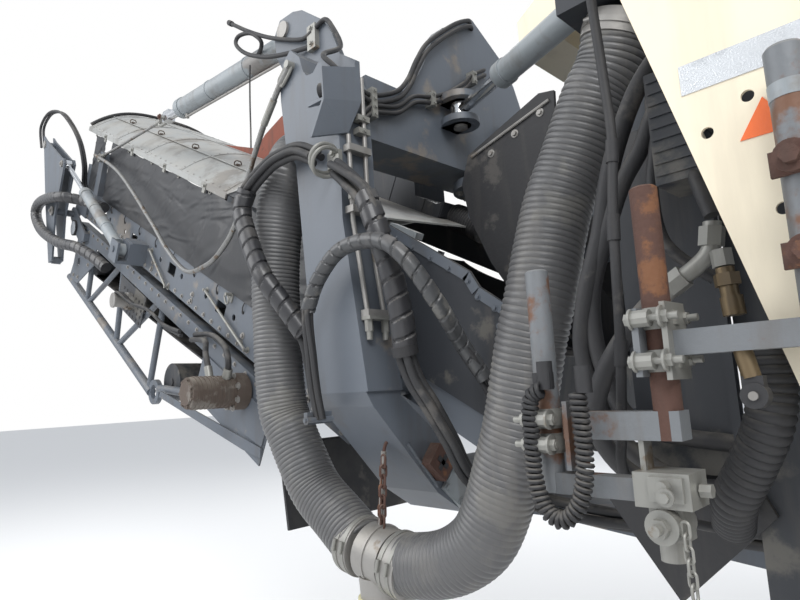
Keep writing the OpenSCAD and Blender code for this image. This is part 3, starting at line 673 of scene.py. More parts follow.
def make_materials(looks):
    """All materials, by the names of the record's slots and a few of their own."""
    patches = patch_group()
    streak_group(patches)
    dust_group(patches)
    relief_group()
    colour_group()
    grey = tuple(looks.paint_colour)
    cream = tuple(looks.cream_colour)
    hose = tuple(looks.hose_colour)
    grime = (0.13, 0.115, 0.10)
    sand = (0.42, 0.38, 0.32)
    weathered("paint_grey", grey, (0.19, 0.17, 0.15), (0.085, 0.075, 0.065), (0.27, 0.25, 0.22), 0.46, 0.0,
              2.2, 0.40, 0.30, 0.45, 45, 0.10)
    weathered("paint_dark", (0.028, 0.031, 0.037), (0.10, 0.095, 0.085), grime, (0.24, 0.22, 0.19), 0.55, 0.0,
              2.6, 0.42, 0.25, 0.6, 50, 0.12)
    weathered("paint_cream", cream, (0.66, 0.60, 0.47), (0.36, 0.31, 0.24), sand, 0.42, 0.0, 1.4, 0.40, 0.22,
              0.3, 40, 0.05)
    weathered("paint_pale", (0.25, 0.275, 0.29), (0.19, 0.18, 0.17), grime, sand, 0.42, 0.0, 3.0, 0.42, 0.35,
              0.4, 50, 0.08)
    weathered("roof_panels", (0.33, 0.335, 0.325), (0.22, 0.21, 0.195), (0.14, 0.13, 0.115), sand, 0.6, 0.1,
              1.9, 0.46, 0.45, 0.3, 40, 0.12)
    weathered("rubber_black", (0.022, 0.022, 0.024), (0.07, 0.065, 0.06), (0.05, 0.046, 0.042),
              (0.26, 0.24, 0.21), 0.62, 0.0, 4.0, 0.42, 0.3, 0.5, 70, 0.25)
    weathered("pvc_curtain", (0.010, 0.011, 0.014), (0.018, 0.018, 0.020), (0.032, 0.030, 0.028),
              (0.045, 0.042, 0.040), 0.5, 0.0, 2.4, 0.42, 0.3, 0.25, 90, 0.12, 0.1)
    weathered("primer_red", (0.22, 0.060, 0.034), (0.13, 0.042, 0.028), (0.09, 0.045, 0.032), sand, 0.7, 0.0,
              3.5, 0.44, 0.5, 0.25, 70, 0.2)
    weathered("hose_grey", hose, (0.135, 0.132, 0.125), (0.17, 0.16, 0.145), (0.25, 0.24, 0.22), 0.45, 0.0,
              3.2, 0.42, 0.35, 0.55, 80, 0.15, 0.1)
    weathered("bare_steel", (0.30, 0.29, 0.275), (0.20, 0.165, 0.13), grime, sand, 0.48, 0.5, 5.0, 0.40, 0.3,
              0.4, 90, 0.12)
    weathered("chrome_rod", (0.72, 0.73, 0.74), (0.60, 0.60, 0.60), (0.5, 0.5, 0.5), (0.6, 0.59, 0.57), 0.16,
              1.0, 4.0, 0.35, 0.1, 0.15, 120, 0.03)
    weathered("rope_steel", (0.24, 0.24, 0.235), (0.15, 0.11, 0.08), grime, sand, 0.5, 0.7, 12.0, 0.45, 0.3,
              0.3, 300, 0.3)
    weathered("rusty_steel", (0.16, 0.07, 0.04), (0.24, 0.12, 0.06), (0.09, 0.05, 0.035), sand, 0.85, 0.1, 7.0,
              0.5, 0.5, 0.3, 120, 0.5)
    weathered("motor_brown", (0.11, 0.085, 0.07), (0.19, 0.17, 0.15), grime, sand, 0.7, 0.3, 6.0, 0.45, 0.4,
              0.6, 100, 0.4)
    weathered("rusted_patch", (0.085, 0.042, 0.031), (0.17, 0.075, 0.035), (0.055, 0.035, 0.028), sand, 0.8,
              0.1, 9.0, 0.47, 0.5, 0.3, 110, 0.5)
    weathered("zinc_fittings", (0.27, 0.268, 0.248), (0.19, 0.15, 0.11), grime, sand, 0.46, 0.45, 9.0, 0.40,
              0.2, 0.2, 140, 0.06)
    weathered("worn_grey", (0.16, 0.17, 0.18), (0.15, 0.075, 0.045), grime, (0.3, 0.28, 0.25), 0.55, 0.2, 4.5,
              0.47, 0.4, 0.3, 80, 0.25)
    weathered("wrap_black", (0.03, 0.03, 0.033), (0.075, 0.073, 0.07), (0.06, 0.055, 0.05), (0.3, 0.28, 0.25),
              0.42, 0.0, 6.0, 0.40, 0.3, 0.45, 90, 0.1, 0.2)
    weathered("wrap_grey", (0.05, 0.052, 0.055), (0.12, 0.118, 0.11), (0.08, 0.075, 0.068), (0.24, 0.22, 0.2),
              0.45, 0.0, 6.0, 0.42, 0.3, 0.5, 90, 0.1, 0.2)
    weathered("brass_tube", (0.17, 0.125, 0.072), (0.12, 0.09, 0.06), grime, sand, 0.42, 0.7, 9.0, 0.42, 0.3,
              0.2, 100, 0.1)
    weathered("reflector_orange", (0.85, 0.16, 0.03), (0.7, 0.12, 0.03), (0.5, 0.1, 0.04), sand, 0.3, 0.0, 3.0,
              0.3, 0.1, 0.15, 300, 0.2, 0.6)
    weathered("reflector_silver", (0.62, 0.64, 0.66), (0.50, 0.52, 0.54), (0.4, 0.4, 0.4), sand, 0.25, 0.4,
              5.0, 0.4, 0.15, 0.2, 400, 0.3, 0.6)
    weathered("reflector_red", (0.55, 0.02, 0.02), (0.42, 0.03, 0.03), (0.3, 0.04, 0.03), sand, 0.3, 0.0, 3.0,
              0.3, 0.1, 0.15, 300, 0.2, 0.6)
    weathered("lamp_glass", (0.72, 0.76, 0.80), (0.62, 0.66, 0.70), (0.5, 0.52, 0.54), sand, 0.08, 0.1, 4.0,
              0.35, 0.1, 0.2, 300, 0.1, 0.8)
    weathered("funnel_plastic", (0.72, 0.68, 0.42), (0.55, 0.50, 0.34), (0.3, 0.27, 0.2), sand, 0.5, 0.0, 4.0,
              0.4, 0.3, 0.2, 60, 0.1)


def dress_nodes(frame):
    """Each CAD node gets the material of its slot in the record, apart from two with a look of their own."""
    own = {"air_duct": "primer_red", "outer_drums": "paint_dark"}
    for entry in frame["record"]["subparts"]:
        obj = frame["nodes"][entry["node"]]
        obj.data.materials.clear()
        obj.data.materials.append(MATERIALS[own.get(entry["node"], entry["material_slot"])])


def make_camera():
    """The photograph's camera: 27 mm lens, standing left of the machine and looking forward to the right."""
    yaw, pitch, roll = (math.radians(angle) for angle in CAMERA_TURN)
    cam = bpy.data.cameras.new("photo")
    cam.lens = 27.0
    cam.sensor_width = 36.0
    cam.clip_end = 200.0
    obj = bpy.data.objects.new("photo", cam)
    bpy.context.scene.collection.objects.link(obj)
    forward = Vector((math.cos(yaw) * math.cos(pitch), math.sin(yaw) * math.cos(pitch), math.sin(pitch)))
    right = forward.cross(Vector((0, 0, 1))).normalized()
    up = right.cross(forward)
    turned_right = right * math.cos(roll) - up * math.sin(roll)
    turned_up = right * math.sin(roll) + up * math.cos(roll)
    matrix = Matrix((turned_right, turned_up, -forward)).transposed().to_4x4()
    matrix.translation = Vector(row(CAMERA_PLACE))
    obj.matrix_world = matrix
    bpy.context.scene.camera = obj


def make_floor():
    """Plain pale square at the height of the ground."""
    ground, reach = ROW_SHIFT[2] / 1000.0, 60.0
    mesh = bpy.data.meshes.new("floor")
    corners = [(-reach, -reach, ground), (reach, -reach, ground), (reach, reach, ground),
               (-reach, reach, ground)]
    mesh.from_pydata(corners, [], [(0, 1, 2, 3)])
    material = bpy.data.materials.new("floor")
    material.use_nodes = True
    shader = material.node_tree.nodes["Principled BSDF"]
    shader.inputs["Base Color"].default_value = (0.86, 0.855, 0.845, 1)
    shader.inputs["Roughness"].default_value = 0.9
    mesh.materials.append(material)
    floor = bpy.data.objects.new("floor", mesh)
    bpy.context.scene.collection.objects.link(floor)
    return floor


def make_lamps():
    """Three soft square lamps that face the middle of the unit, each with its place, size and power."""
    middle = Vector((2.6, 0.0, 0.2))
    lamps = []
    for label, place, size, power in (("key", (-3.5, 6.0, 6.5), 5.0, 700.0),
                                      ("fill", (7.0, 6.0, 4.0), 6.0, 350.0),
                                      ("rim", (6.0, -6.0, 6.0), 5.0, 350.0)):
        lamp = bpy.data.lights.new(label, "AREA")
        lamp.size = size
        lamp.energy = power
        obj = bpy.data.objects.new(label, lamp)
        obj.location = place
        obj.rotation_euler = (middle - Vector(place)).to_track_quat("-Z", "Y").to_euler()
        bpy.context.scene.collection.objects.link(obj)
        lamps.append(obj)
    return lamps


def make_world():
    """World light that is soft and bluish on the object and plain white to the camera."""
    world = bpy.data.worlds.new("studio")
    world.use_nodes = True
    tree = world.node_tree
    soft = tree.nodes["Background"]
    soft.inputs["Color"].default_value = (0.88, 0.92, 0.98, 1)
    soft.inputs["Strength"].default_value = 0.75
    white = added(tree, "Background", Color=(1, 1, 1, 1))
    mix = added(tree, "MixShader")
    rays = added(tree, "LightPath")
    wire(tree, (rays, "Is Camera Ray", mix, "Fac"), (soft, "Background", mix, 1),
         (white, "Background", mix, 2), (mix, "Shader", tree.nodes["World Output"], "Surface"))
    bpy.context.scene.world = world


def make_stage():
    """Plain pale floor at the ground, soft lamps and a white background."""
    bpy.context.scene.view_settings.view_transform = "Standard"
    stage = [make_floor(), *make_lamps()]
    make_world()
    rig.stage(*stage)


def arch(y, edge=725.0, rise=205.0, half=618.0):
    """Height of the roof over the slope line: edge + rise * (1 - |y / half|^3)."""
    return edge + rise * (1 - np.abs(np.asarray(y, float) / half) ** 3)


def build_suction_hoses(looks):
    """Ribbed suction hoses on either side of the tee."""
    shape = (looks.hose_radius * 1000, looks.rib_pitch * 1000, looks.rib_depth * 1000)
    rear = bending("rear_ribbed_hose", ribbed(REAR_ROUTE, *shape), "hose_grey",
                   ("front_frame", "slew_bracket"), REAR_ROUTE[0], REAR_ROUTE[8], 60)
    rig.replaces(rear, "rear_suction_hose")
    front = bending("front_ribbed_hose", ribbed(FRONT_ROUTE, *shape), "hose_grey",
                    ("slew_bracket", "inner_section"), FRONT_ROUTE[7], FRONT_ROUTE[14], 60)
    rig.replaces(front, "front_suction_hose")


def build_tee(looks):
    """Cuffs, clamps and seam of the tee between the suction hoses, with its funnel and chain."""
    radius = looks.hose_radius * 1000
    rear_end, front_start = REAR_ROUTE[-1], FRONT_ROUTE[0]
    along = unit(front_start - rear_end)
    cuffs = [bar(rear_end, along, -46, 30, radius + 3, 48), bar(front_start, along, -30, 40, radius + 3, 48)]
    piece("tee_cuffs", cuffs, "bare_steel", "slew_bracket")
    bands = [band_clamp(end + along * reach, along, radius + 3)
             for end, reach in ((rear_end, -22), (rear_end, 18), (front_start, -14), (front_start, 22))]
    piece("tee_bands", bands, "zinc_fittings", "slew_bracket")
    middle = (rear_end + front_start) / 2
    seam = [bar(middle, along, -5, 5, radius + 1, 48),
            block(middle + (-60, -8, -radius - 20), middle + (60, 8, -radius + 8))]
    piece("tee_seam", seam, "bare_steel", "slew_bracket")
    funnel = [rod((14, 738, 925), (14, 738, 1010), 96, 40, 88),
              rod((14, 738, 885), (14, 738, 930), 82, 40, 97)]
    piece("tee_funnel", funnel, "funnel_plastic", "slew_bracket")
    hook = [(-22, 741, 1490), (-30, 735, 1520), (-40, 715, 1530), (-48, 700, 1515)]
    chain = [chain_links((14, 738, 1240), (-22, 741, 1495), 34, 24, 4.2),
             chain_links((-10, 752, 1238), (-30, 750, 1480), 34, 24, 4.2), hose(hook, 6, 10, 6)]
    piece("tee_chain", chain, "rusted_patch", "slew_bracket")


def build_hose_ends(looks):
    """Steel cuffs with clamps where the suction hoses meet the fan box and the conveyor's stub."""
    radius = looks.hose_radius * 1000
    for name, end, before, low, high, clamp, body in (
            ("box_spigot", REAR_ROUTE[0], REAR_ROUTE[1], -40, 24, -10, "front_frame"),
            ("stub_band", FRONT_ROUTE[-1], FRONT_ROUTE[-2], -30, 18, -4, "inner_section")):
        way = unit(end - before)
        cuff = [bar(end, way, low, high, radius + 3, 48), band_clamp(end + way * clamp, way, radius + 4)]
        piece(name, cuff, "bare_steel", body)


def build_bundles(looks):
    """Hydraulic hoses: bare where they leave the clamp and in a spiral band along the bends."""
    radius, pitch = looks.bundle_radius * 1000, looks.wrap_pitch * 1000
    slew = ("front_frame", "slew_bracket")
    tilt = ("slew_bracket", "inner_section")
    first = (BUNDLE_REAR[-1], BUNDLE_REAR[6])
    forward = (BUNDLE_FRONT[4], BUNDLE_FRONT[11])
    second = (WRAPPED_ROUTE[-1], WRAPPED_ROUTE[8])
    rear = bending("rear_wrap", spiral_wrapped(BUNDLE_REAR[2:7], radius, pitch, 6), "wrap_black", slew, *first)
    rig.replaces(rear, "rear_hydraulic_hoses")
    bending("rear_bare_top", hose_group(BUNDLE_REAR[:4], 14, 4, 21), "rubber_black", slew, *first)
    bending("rear_bare_low", hose_group(BUNDLE_REAR[5:], 14, 4, 21, 2.0, 5), "rubber_black", slew, *first)
    way = unit(BUNDLE_REAR[7] - BUNDLE_REAR[5])
    bending("rear_strap", bar(BUNDLE_REAR[6], way, -16, 16, radius + 3, 28), "rubber_black", slew, *first)
    front = bending("front_wrap", spiral_wrapped(BUNDLE_FRONT[4:10], radius, pitch, 6), "wrap_black", tilt,
                    *forward)
    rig.replaces(front, "front_hydraulic_hoses")
    bending("front_bare_top", hose_group(BUNDLE_FRONT[:6], 14, 4, 21, 0.8), "rubber_black", tilt, *forward)
    bending("front_bare_low", hose_group(BUNDLE_FRONT[8:], 14, 4, 21, 0.6, 8), "rubber_black", tilt, *forward)
    bending("second_wrap", spiral_wrapped(WRAPPED_ROUTE[3:11], 26, pitch * 0.8, 5), "wrap_grey", slew, *second)
    bending("second_bare_low", hose_group(WRAPPED_ROUTE[:5], 10, 3, 13, 0.8, 11), "rubber_black", slew,
            *second)
    bending("second_bare_rear", hose_group(WRAPPED_ROUTE[9:], 10, 3, 13, 1.5, 12), "rubber_black", slew,
            *second)


def build_bundle_clamps(looks):
    """Double ring clamp of the bundles on the column, and the bracket of the low hoses."""
    rings = [loop_tube(centre, (0.8, 0, 0.5), OUT, 116, 104, 8)
             for centre in ((5, 928, 2512), (18, 928, 2530))]
    rings += [block((-28, 881, 2500), (36, 899, 2560)), bolt((4, 900, 2552), OUT, 16)]
    piece("bundle_clamp", rings, "zinc_fittings", "slew_bracket")
    low = [block((84, 881, 1600), (104, 985, 1640)), rod((70, 890, 1615), (70, 1000, 1615), 9, 16),
           bolt((70, 1000, 1615), OUT, 14)]
    piece("low_hose_bracket", low, "paint_grey", "slew_bracket")


def build_slack_rope(looks):
    """The slack safety rope with its ferrule and shackle."""
    path, length = smooth_path(ROPE_ROUTE, 8)
    slack = bending("slack_safety_rope", stranded(ROPE_ROUTE, 13.0), "rope_steel",
                    ("slew_bracket", "inner_section"), ROPE_ROUTE[2], ROPE_ROUTE[10], 60)
    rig.replaces(slack, "slack_rope")
    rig.cord(slack, row(ROPE_ROUTE[0]), float(length[-1]) / 1000.0, 0.0255, "object", stiffness="stiff",
            lay="hanging", path=[tuple(p) for p in row(path)])
    fittings = [rod(ROPE_ROUTE[2], ROPE_ROUTE[3], 15, 20), rod((262, 880, 3010), (262, 912, 3010), 16, 20),
                loop_tube((300, 892, 2985), OUT, unit((68, 0, -48.0)), 96, 44, 7)]
    piece("slack_rope_ferrule", fittings, "zinc_fittings", "slew_bracket")


def build_lift_ropes(looks):
    """The two taut lift ropes with their shackles, eyes and clevis nuts."""
    way = unit(ROPE_PIN - LIFT_PIN)
    start = LIFT_PIN + way * 1470
    rope = stranded([start + way * 150, (start + ROPE_PIN) / 2, ROPE_PIN - way * 30], 10, 80)
    obj = pair("lift_wire_ropes", rope, "rope_steel", "lift_rod_pair")
    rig.replaces(obj, "lift_ropes")
    clevis = start + way * 4
    metal = [bar(start, way, 70, 160, 17, 20, 12), loop_tube(start + way * 45, OUT, way, 110, 62, 11),
             bar(clevis, OUT, -40, 40, 12, 20), bar(ROPE_PIN, OUT, -9, 9, 34, 32),
             bar(ROPE_PIN, OUT, -13, 18, 14, 24), bar(ROPE_PIN, way, -120, -28, 15, 20)]
    pair("lift_rope_shackles", metal, "zinc_fittings", "lift_rod_pair")
    nuts = [bolt(clevis + OUT * 40, OUT, 20), bolt(clevis - OUT * 40, -OUT, 20)]
    pair("lift_clevis_nuts", nuts, "rusted_patch", "lift_rod_pair")


def creases(u, w, count, spread, rng):
    """Sum of long creases in the cloth: each a ridge exp(-(d / width)^2) that fades along its own length."""
    height = np.zeros(np.broadcast(u, w).shape)
    for k in range(count):
        turn = rng.uniform(*spread)
        at_u, at_w = rng.uniform(u.min(), u.max()), rng.uniform(w.min(), w.max())
        along = (u - at_u) * math.cos(turn) + (w - at_w) * math.sin(turn)
        across = (w - at_w) * math.cos(turn) - (u - at_u) * math.sin(turn)
        across = across + 14 * np.sin(along / rng.uniform(70, 150) + k)
        reach, width = rng.uniform(110, 330), rng.uniform(7, 20)
        ridge = np.exp(-(across / width) ** 2) - 0.6 * np.exp(-((across - 1.8 * width) / (1.4 * width)) ** 2)
        height += rng.choice((-1.0, 1.0)) * rng.uniform(1.2, 4.0) * ridge * np.exp(-(along / reach) ** 2)
    return height


def curtain_surface(rng, u0, u1, w0, w1):
    """Hung cloth: sine waves and creases, flat at the hems, and a top edge that sags between its eyelets."""
    u = np.linspace(u0, u1, max(60, int((u1 - u0) / 9)))[:, None]
    t = np.linspace(0, 1, 56)[None, :]
    w = w0 + (w1 - w0) * t
    waves = np.zeros(np.broadcast(u, w).shape)
    for _ in range(7):
        lean = rng.uniform(-0.6, 0.2)
        size = rng.uniform(0.3, 1.0)
        phase = (u + lean * (w - w0)) / rng.uniform(50, 170) + rng.uniform(0, 6.3)
        waves += size * np.sin(phase)
    inner = np.clip(np.minimum(t, 1 - t) * 9, 0, 1)
    count = int((u1 - u0) / 32) + 6
    folds = 1.3 * waves + creases(u, w, count, (-1.1, 0.1), rng)
    y = 608 + inner * folds + 1.5 * np.sin(u / 45.0) * (1 - inner)
    y = np.clip(y, 601.5, 620)
    z = w + 5 * np.sin(u / 240.0) * np.clip(1 - 3 * t, 0, 1)
    scallop = np.abs(np.sin(math.pi * (u - u0) / EYELET_SPACING)) ** 0.6
    z = z - 26 * scallop * np.clip((t - 0.75) / 0.25, 0, 1) ** 2
    return np.stack([np.broadcast_to(u, y.shape), y, z], axis=-1)


def build_curtains(looks):
    """Coated cloth curtains on both sides, hung from eyelets under the roof, with straps at their hems."""
    rng = np.random.default_rng(7)
    w0, w1 = 240.0, 710.0
    for label, sign, u0, u1 in (("left_long", 1, 1255.0, 4445.0), ("left_short", 1, 4594.0, 4846.0),
                                ("right_long", -1, 1255.0, 4445.0), ("right_short", -1, 4594.0, 4846.0)):
        part = grid(on_slope(curtain_surface(rng, u0, u1, w0, w1)))
        if sign < 0:
            part = mirrored(part)
        cloth = piece(label + "_curtain", part, "pvc_curtain", "inner_section", 80, closed=False)
        spacing = EYELET_SPACING if u1 - u0 > 900 else 240
        eyelets = [loop_tube(on_slope((u + 6, 612.5, w1 - 22)), OUT, (1, 0, 0), 24, 24, 3, 6, 16)
                   for u in np.arange(u0 + 2, u1, spacing)]
        rings = join(eyelets)
        if sign < 0:
            rings = mirrored(rings)
        rings = piece(label + "_eyelets", rings, "zinc_fittings", "inner_section")
        if label == "left_long":
            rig.replaces(cloth, "side_curtains")
        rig.sheet(cloth, ((u1 - u0) / 1000.0 * 1.01, (w1 - w0) / 1000.0 * 1.01), "hung", with_pieces=[rings])
    straps = []
    for u in np.arange(1400, 4350, 310):
        a, b = on_slope((u, 606, 243)), on_slope((u, 606, 190))
        straps.append(tube(np.array([a, (a + b) / 2 + (0, 6, 0), b]), 3, 8))
        straps.append(bolt(on_slope((u, SIDE_FACE, 188)), OUT, 10))
    pair("curtain_straps", straps, "rubber_black", "inner_section")


def roof_height(u, y):
    """Top of the roof: a gable over the hopper, an arch further on, and a straight blend between the two."""
    share = np.clip((u - 2040.0) / 411.0, 0, 1)
    half = 612 + 6 * share
    t = np.abs(y / half)
    gable = 907 + 50 * (1 - t)
    return (1 - share) * gable + share * (725 + 205 * (1 - t ** 3)), half


def build_roof_sheet(looks):
    """The roof's sheet, 7.5 thick and slightly dented, and its long seams."""
    places = np.concatenate([np.linspace(1213, 2040, 5), np.linspace(2060, 2451, 9),
                             np.linspace(2500, 5050, 50)])
    count = 61
    t = np.linspace(-1, 1, count)
    rows = []
    for u in places:
        top, half_width = roof_height(u, t * roof_height(u, 0.0)[1])
        dent = 1.2 * np.sin(u / 160.0 + 5 * t) * (1 - np.abs(t))
        over = np.stack([np.full_like(t, u), t * half_width, top + dent], axis=-1)
        under = over[::-1] - (0, 0, 7.5)
        rows.append(np.vstack([over, under]))
    rows = np.array(rows)
    ends = [grid(np.stack([edge[:count], edge[count:][::-1]])) for edge in (rows[0], rows[-1])]
    sheet = moved(join([grid(rows, wrap=True)] + ends), on_slope)
    roof = piece("roof_sheet", sheet, "roof_panels", "inner_section", 60)
    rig.replaces(roof, "inner_roof")
    lines = []
    for v in (-440, -150, 150, 440):
        u = np.arange(2470, 5046, 40.0)
        base = np.stack([u, np.full_like(u, v), arch(v) + 0 * u + 1], axis=-1)
        ring = np.stack([base - (0, 16, 0), base + (0, -14, 3), base + (0, 14, 3), base + (0, 16, 0)], axis=1)
        lines.append(moved(grid(ring, wrap=True), on_slope))
    piece("roof_long_seams", lines, "roof_panels", "inner_section")


def roof_rivet(u, v, lift, height):
    """Rivet on the roof at u along and v across, square to the slope."""
    p = on_slope((u, v, float(arch(v)) + lift))
    n = unit(on_slope((u, v, float(arch(v)) + 13)) - p)
    return rod(p, p + n * height, 7, 8, 4)


def build_roof_seams(looks):
    """Cross seams between the roof's panels, with the rivets on them and along the edges."""
    step = looks.panel_length * 1000
    strips, rivets = [], []
    y = np.linspace(-614, 614, 33)
    for u in np.arange(2470, 5050, step):
        line = np.stack([np.full_like(y, u), y, arch(y) + 1], axis=-1)
        other = line + (34, 0, 0)
        top_a, top_b = line + (0, 0, 3), other + (0, 0, 3)
        ring = np.stack([line, top_a, top_b, other], axis=1)
        strips.append(moved(grid(ring, wrap=True), on_slope))
        rivets += [roof_rivet(u + 17, v, 3, 4) for v in np.linspace(-590, 590, 24)]
    rivets += [roof_rivet(u, v, 1, 5) for u in np.arange(2480, 5040, 90) for v in (-606, 606)]
    piece("roof_seams", strips, "roof_panels", "inner_section")
    piece("roof_rivets", rivets, "bare_steel", "inner_section")


def roof_bow(u, half, lift, radius):
    """Round bow under or over the roof's end, at u along and as wide as the half on each side."""
    y = np.linspace(half, -half, 40)
    return tube(on_slope(np.stack([np.full(40, u), y, arch(y) + lift], axis=-1)), radius, 12)


def build_roof_trim(looks):
    """Ring handles, rim hose, end bow, side latches and edge strips of the roof."""
    along = on_slope((1, 0, 0)) - on_slope((0, 0, 0))
    handles = []
    for u in (2760, 3380, 4000, 4620):
        for v in (430, -430):
            w = float(arch(v))
            handles.append(loop_tube(on_slope((u, v, w + 14)), along, OUT, 46, 34, 4, 8, 20))
            handles.append(block(on_slope((u, v, w)) - (16, 12, 2), on_slope((u, v, w)) + (16, 12, 9)))
    piece("roof_handles", handles, "motor_brown", "inner_section")
    piece("roof_rim_hose", roof_bow(5046.0, 612, 16, 13), "rubber_black", "inner_section")
    piece("roof_end_bow", roof_bow(5030.0, 606, -30, 16), "paint_dark", "inner_section")
    latches = []
    for u in np.arange(2700, 4900, 620):
        latches.append(slope_block((u, 617, 668), (u + 34, 626, 724)))
        latches.append(slope_block((u + 8, 624, 700), (u + 26, 636, 716)))
    pair("roof_latches", latches, "zinc_fittings", "inner_section")
    pair("roof_edge_strip", slope_block((2452, 612, 692), (5048, 621, 726)), "roof_panels", "inner_section")


def build_hopper_trim(looks):
    """Bolts along the hopper's upper edge and the flat strips over them."""
    bolts, strips = [], []
    for u, w in ((480, 742), (520, 790), (600, 800), (660, 836), (760, 850), (860, 858), (960, 868),
                 (1060, 878), (1160, 884), (1300, 884), (1480, 884), (1660, 884), (1840, 884), (2000, 880)):
        bolts.append(bolt(on_slope((u, 612, w - 18)), OUT, 13))
    for a, b in (((491, 800), (607, 815)), ((607, 815), (668, 851)), ((668, 851), (1139, 898)),
                 ((1139, 898), (2036, 898))):
        way = unit((b[0] - a[0], b[1] - a[1]))
        down = np.array((way[1], 0, -way[0]))
        a3, b3 = np.array((a[0], 609, a[1])), np.array((b[0], 609, b[1]))
        low = np.array([a3 + down * 38, b3 + down * 38, b3 + down * 2, a3 + down * 2])
        p = np.vstack([low, low + (0, 4, 0)])
        q = np.array([(0, 1, 2, 3), (4, 7, 6, 5), (0, 4, 5, 1), (1, 5, 6, 2), (2, 6, 7, 3), (3, 7, 4, 0)])
        strips.append(moved((p, q, np.zeros((0, 3), int)), on_slope))
    pair("hopper_bolts", bolts, "paint_grey", "inner_section")
    pair("hopper_edge_strip", strips, "paint_grey", "inner_section")


def build_air_duct(looks):
    """Dark plates and seam bands over the air duct's rear end, and its ribbed bellows."""
    across = ((0, 111, 0), (1, 0, 0), (0, 0, 1))
    near_end = [(1344, 958), (1344, 1029), (1395, 1007), (1420, 1011), (1480, 1013), (1480, 905)]
    far_part = [(1480, 905), (1480, 1013), (1545, 1015), (1580, 1077), (1992, 1077), (1992, 905)]
    casing = [moved(plate(outline, across, 222), on_slope) for outline in (near_end, far_part)]
    for u, top in ((1352, 1026), (1470, 1015), (1720, 1080), (1980, 1080)):
        casing.append(slope_block((u, -114, 950), (u + 8, 114, top)))
    piece("air_duct_casing", casing, "paint_dark", "inner_section")
    line = on_slope([(1350, 0, 972), (1300, 0, 972), (1250, 0, 970), (1200, 0, 966), (1150, 0, 960)])
    piece("air_duct_bellows", ribbed(line, 66, 15, 8), "rubber_black", "inner_section")


def build_hopper_rail(looks):
    """Short pale rail and its post on the hopper's rear upper edge."""
    rail = [slope_block((975, 560, 880), (1130, 600, 905)), slope_block((975, 590, 700), (990, 601, 905))]
    pair("hopper_top_rail", rail, "paint_pale", "inner_section")


def build_side_bolts(looks):
    """Bolts along the side plates of the two conveyor sections."""
    size = looks.bolt_size * 1000
    bolts = []
    for u in np.arange(1060, 4900, 105):
        for w in (410, 24) if u < 1250 else (24,):
            bolts.append(bolt(on_slope((u, SIDE_FACE, w)), OUT, size * 0.8))
    for u in np.arange(1290, 4700, 640):
        for w in (40, 80):
            bolts.append(bolt(on_slope((u + 40, SIDE_FACE, w)), OUT, size))
    pair("inner_side_bolts", bolts, "bare_steel", "inner_section")
    bolts = [bolt(on_slope((u, SIDE_FACE, -84)), OUT, size * 0.8) for u in np.arange(1620, 4860, 120)]
    for u, w in ((4440, -200), (4500, -330), (4700, -500), (4820, -520), (4820, -300), (4700, -200)):
        bolts.append(bolt(on_slope((u, SIDE_FACE, w)), OUT, size))
    for a in np.linspace(0, 2 * math.pi, 8, endpoint=False):
        place = on_slope((1830 + 84 * math.cos(a), 611, -165 + 84 * math.sin(a))) + (0, 68, 0)
        bolts.append(bolt(place, OUT, size))
    pair("outer_side_bolts", bolts, "bare_steel", "outer_section")


def build_latches(looks):
    """Two latch rods between their eye bolts, and the lug of the curtain."""
    ends = ((3307, 147), (2953, 8), (2446, 165), (1893, 33))
    rods = []
    for (u0, w0), (u1, w1) in (ends[:2], ends[2:]):
        rods.append(slope_rod((u0, 618, w0), (u1, 618, w1), 8, 12))
    for u, w in ends:
        rods.append(bolt(on_slope((u, SIDE_FACE, w)), OUT, 18))
        rods.append(slope_rod((u, SIDE_FACE, w), (u, 628, w), 9, 12))
    pair("latch_rods", rods, "zinc_fittings", "inner_section")
    lug = [slope_block((2150, 601, 195), (2190, 606, 260)),
           slope_rod((2170, 606, 235), (2170, 640, 235), 9, 16),
           loop_tube(on_slope((2170, 628, 212)), OUT, (0.3, 0, 1), 60, 34, 5)]
    pair("curtain_lugs", lug, "zinc_fittings", "inner_section")


def build_small_motor(looks):
    """Perforated plate on the outer section with a small motor and its two hoses."""
    holes = [slope_rod((u, 598.5, w), (u, 600.5, w), 11, 14) for u in range(3290, 3700, 60)
             for w in range(-370, -200, 45)]
    piece("motor_plate", slope_block((3250, 592, -390), (3740, 598, -170)), "paint_dark", "outer_section")
    piece("motor_plate_holes", holes, "rubber_black", "outer_section")
    middle = on_slope((3500, 598, -285))
    small = [bar(middle, OUT, 0, 26, 62, 32), bar(middle, OUT, 26, 110, 46, 32),
             bar(middle, OUT, 110, 122, 52, 32)]
    for a in np.linspace(0.3, 6.6, 6, endpoint=False):
        small.append(bolt(middle + (52 * math.cos(a), 26, 52 * math.sin(a)), OUT, 14))
    piece("small_motor", small, "bare_steel", "outer_section")
    line = middle + np.array([(30, 80, 40), (-60, 90, 40), (-200, 60, -50), (-420, 40, -120), (-700, 60, -250),
                              (-980, 90, -330)])
    piece("small_motor_hose", hose_group(line, 11, 2, 13), "rubber_black", "outer_section")


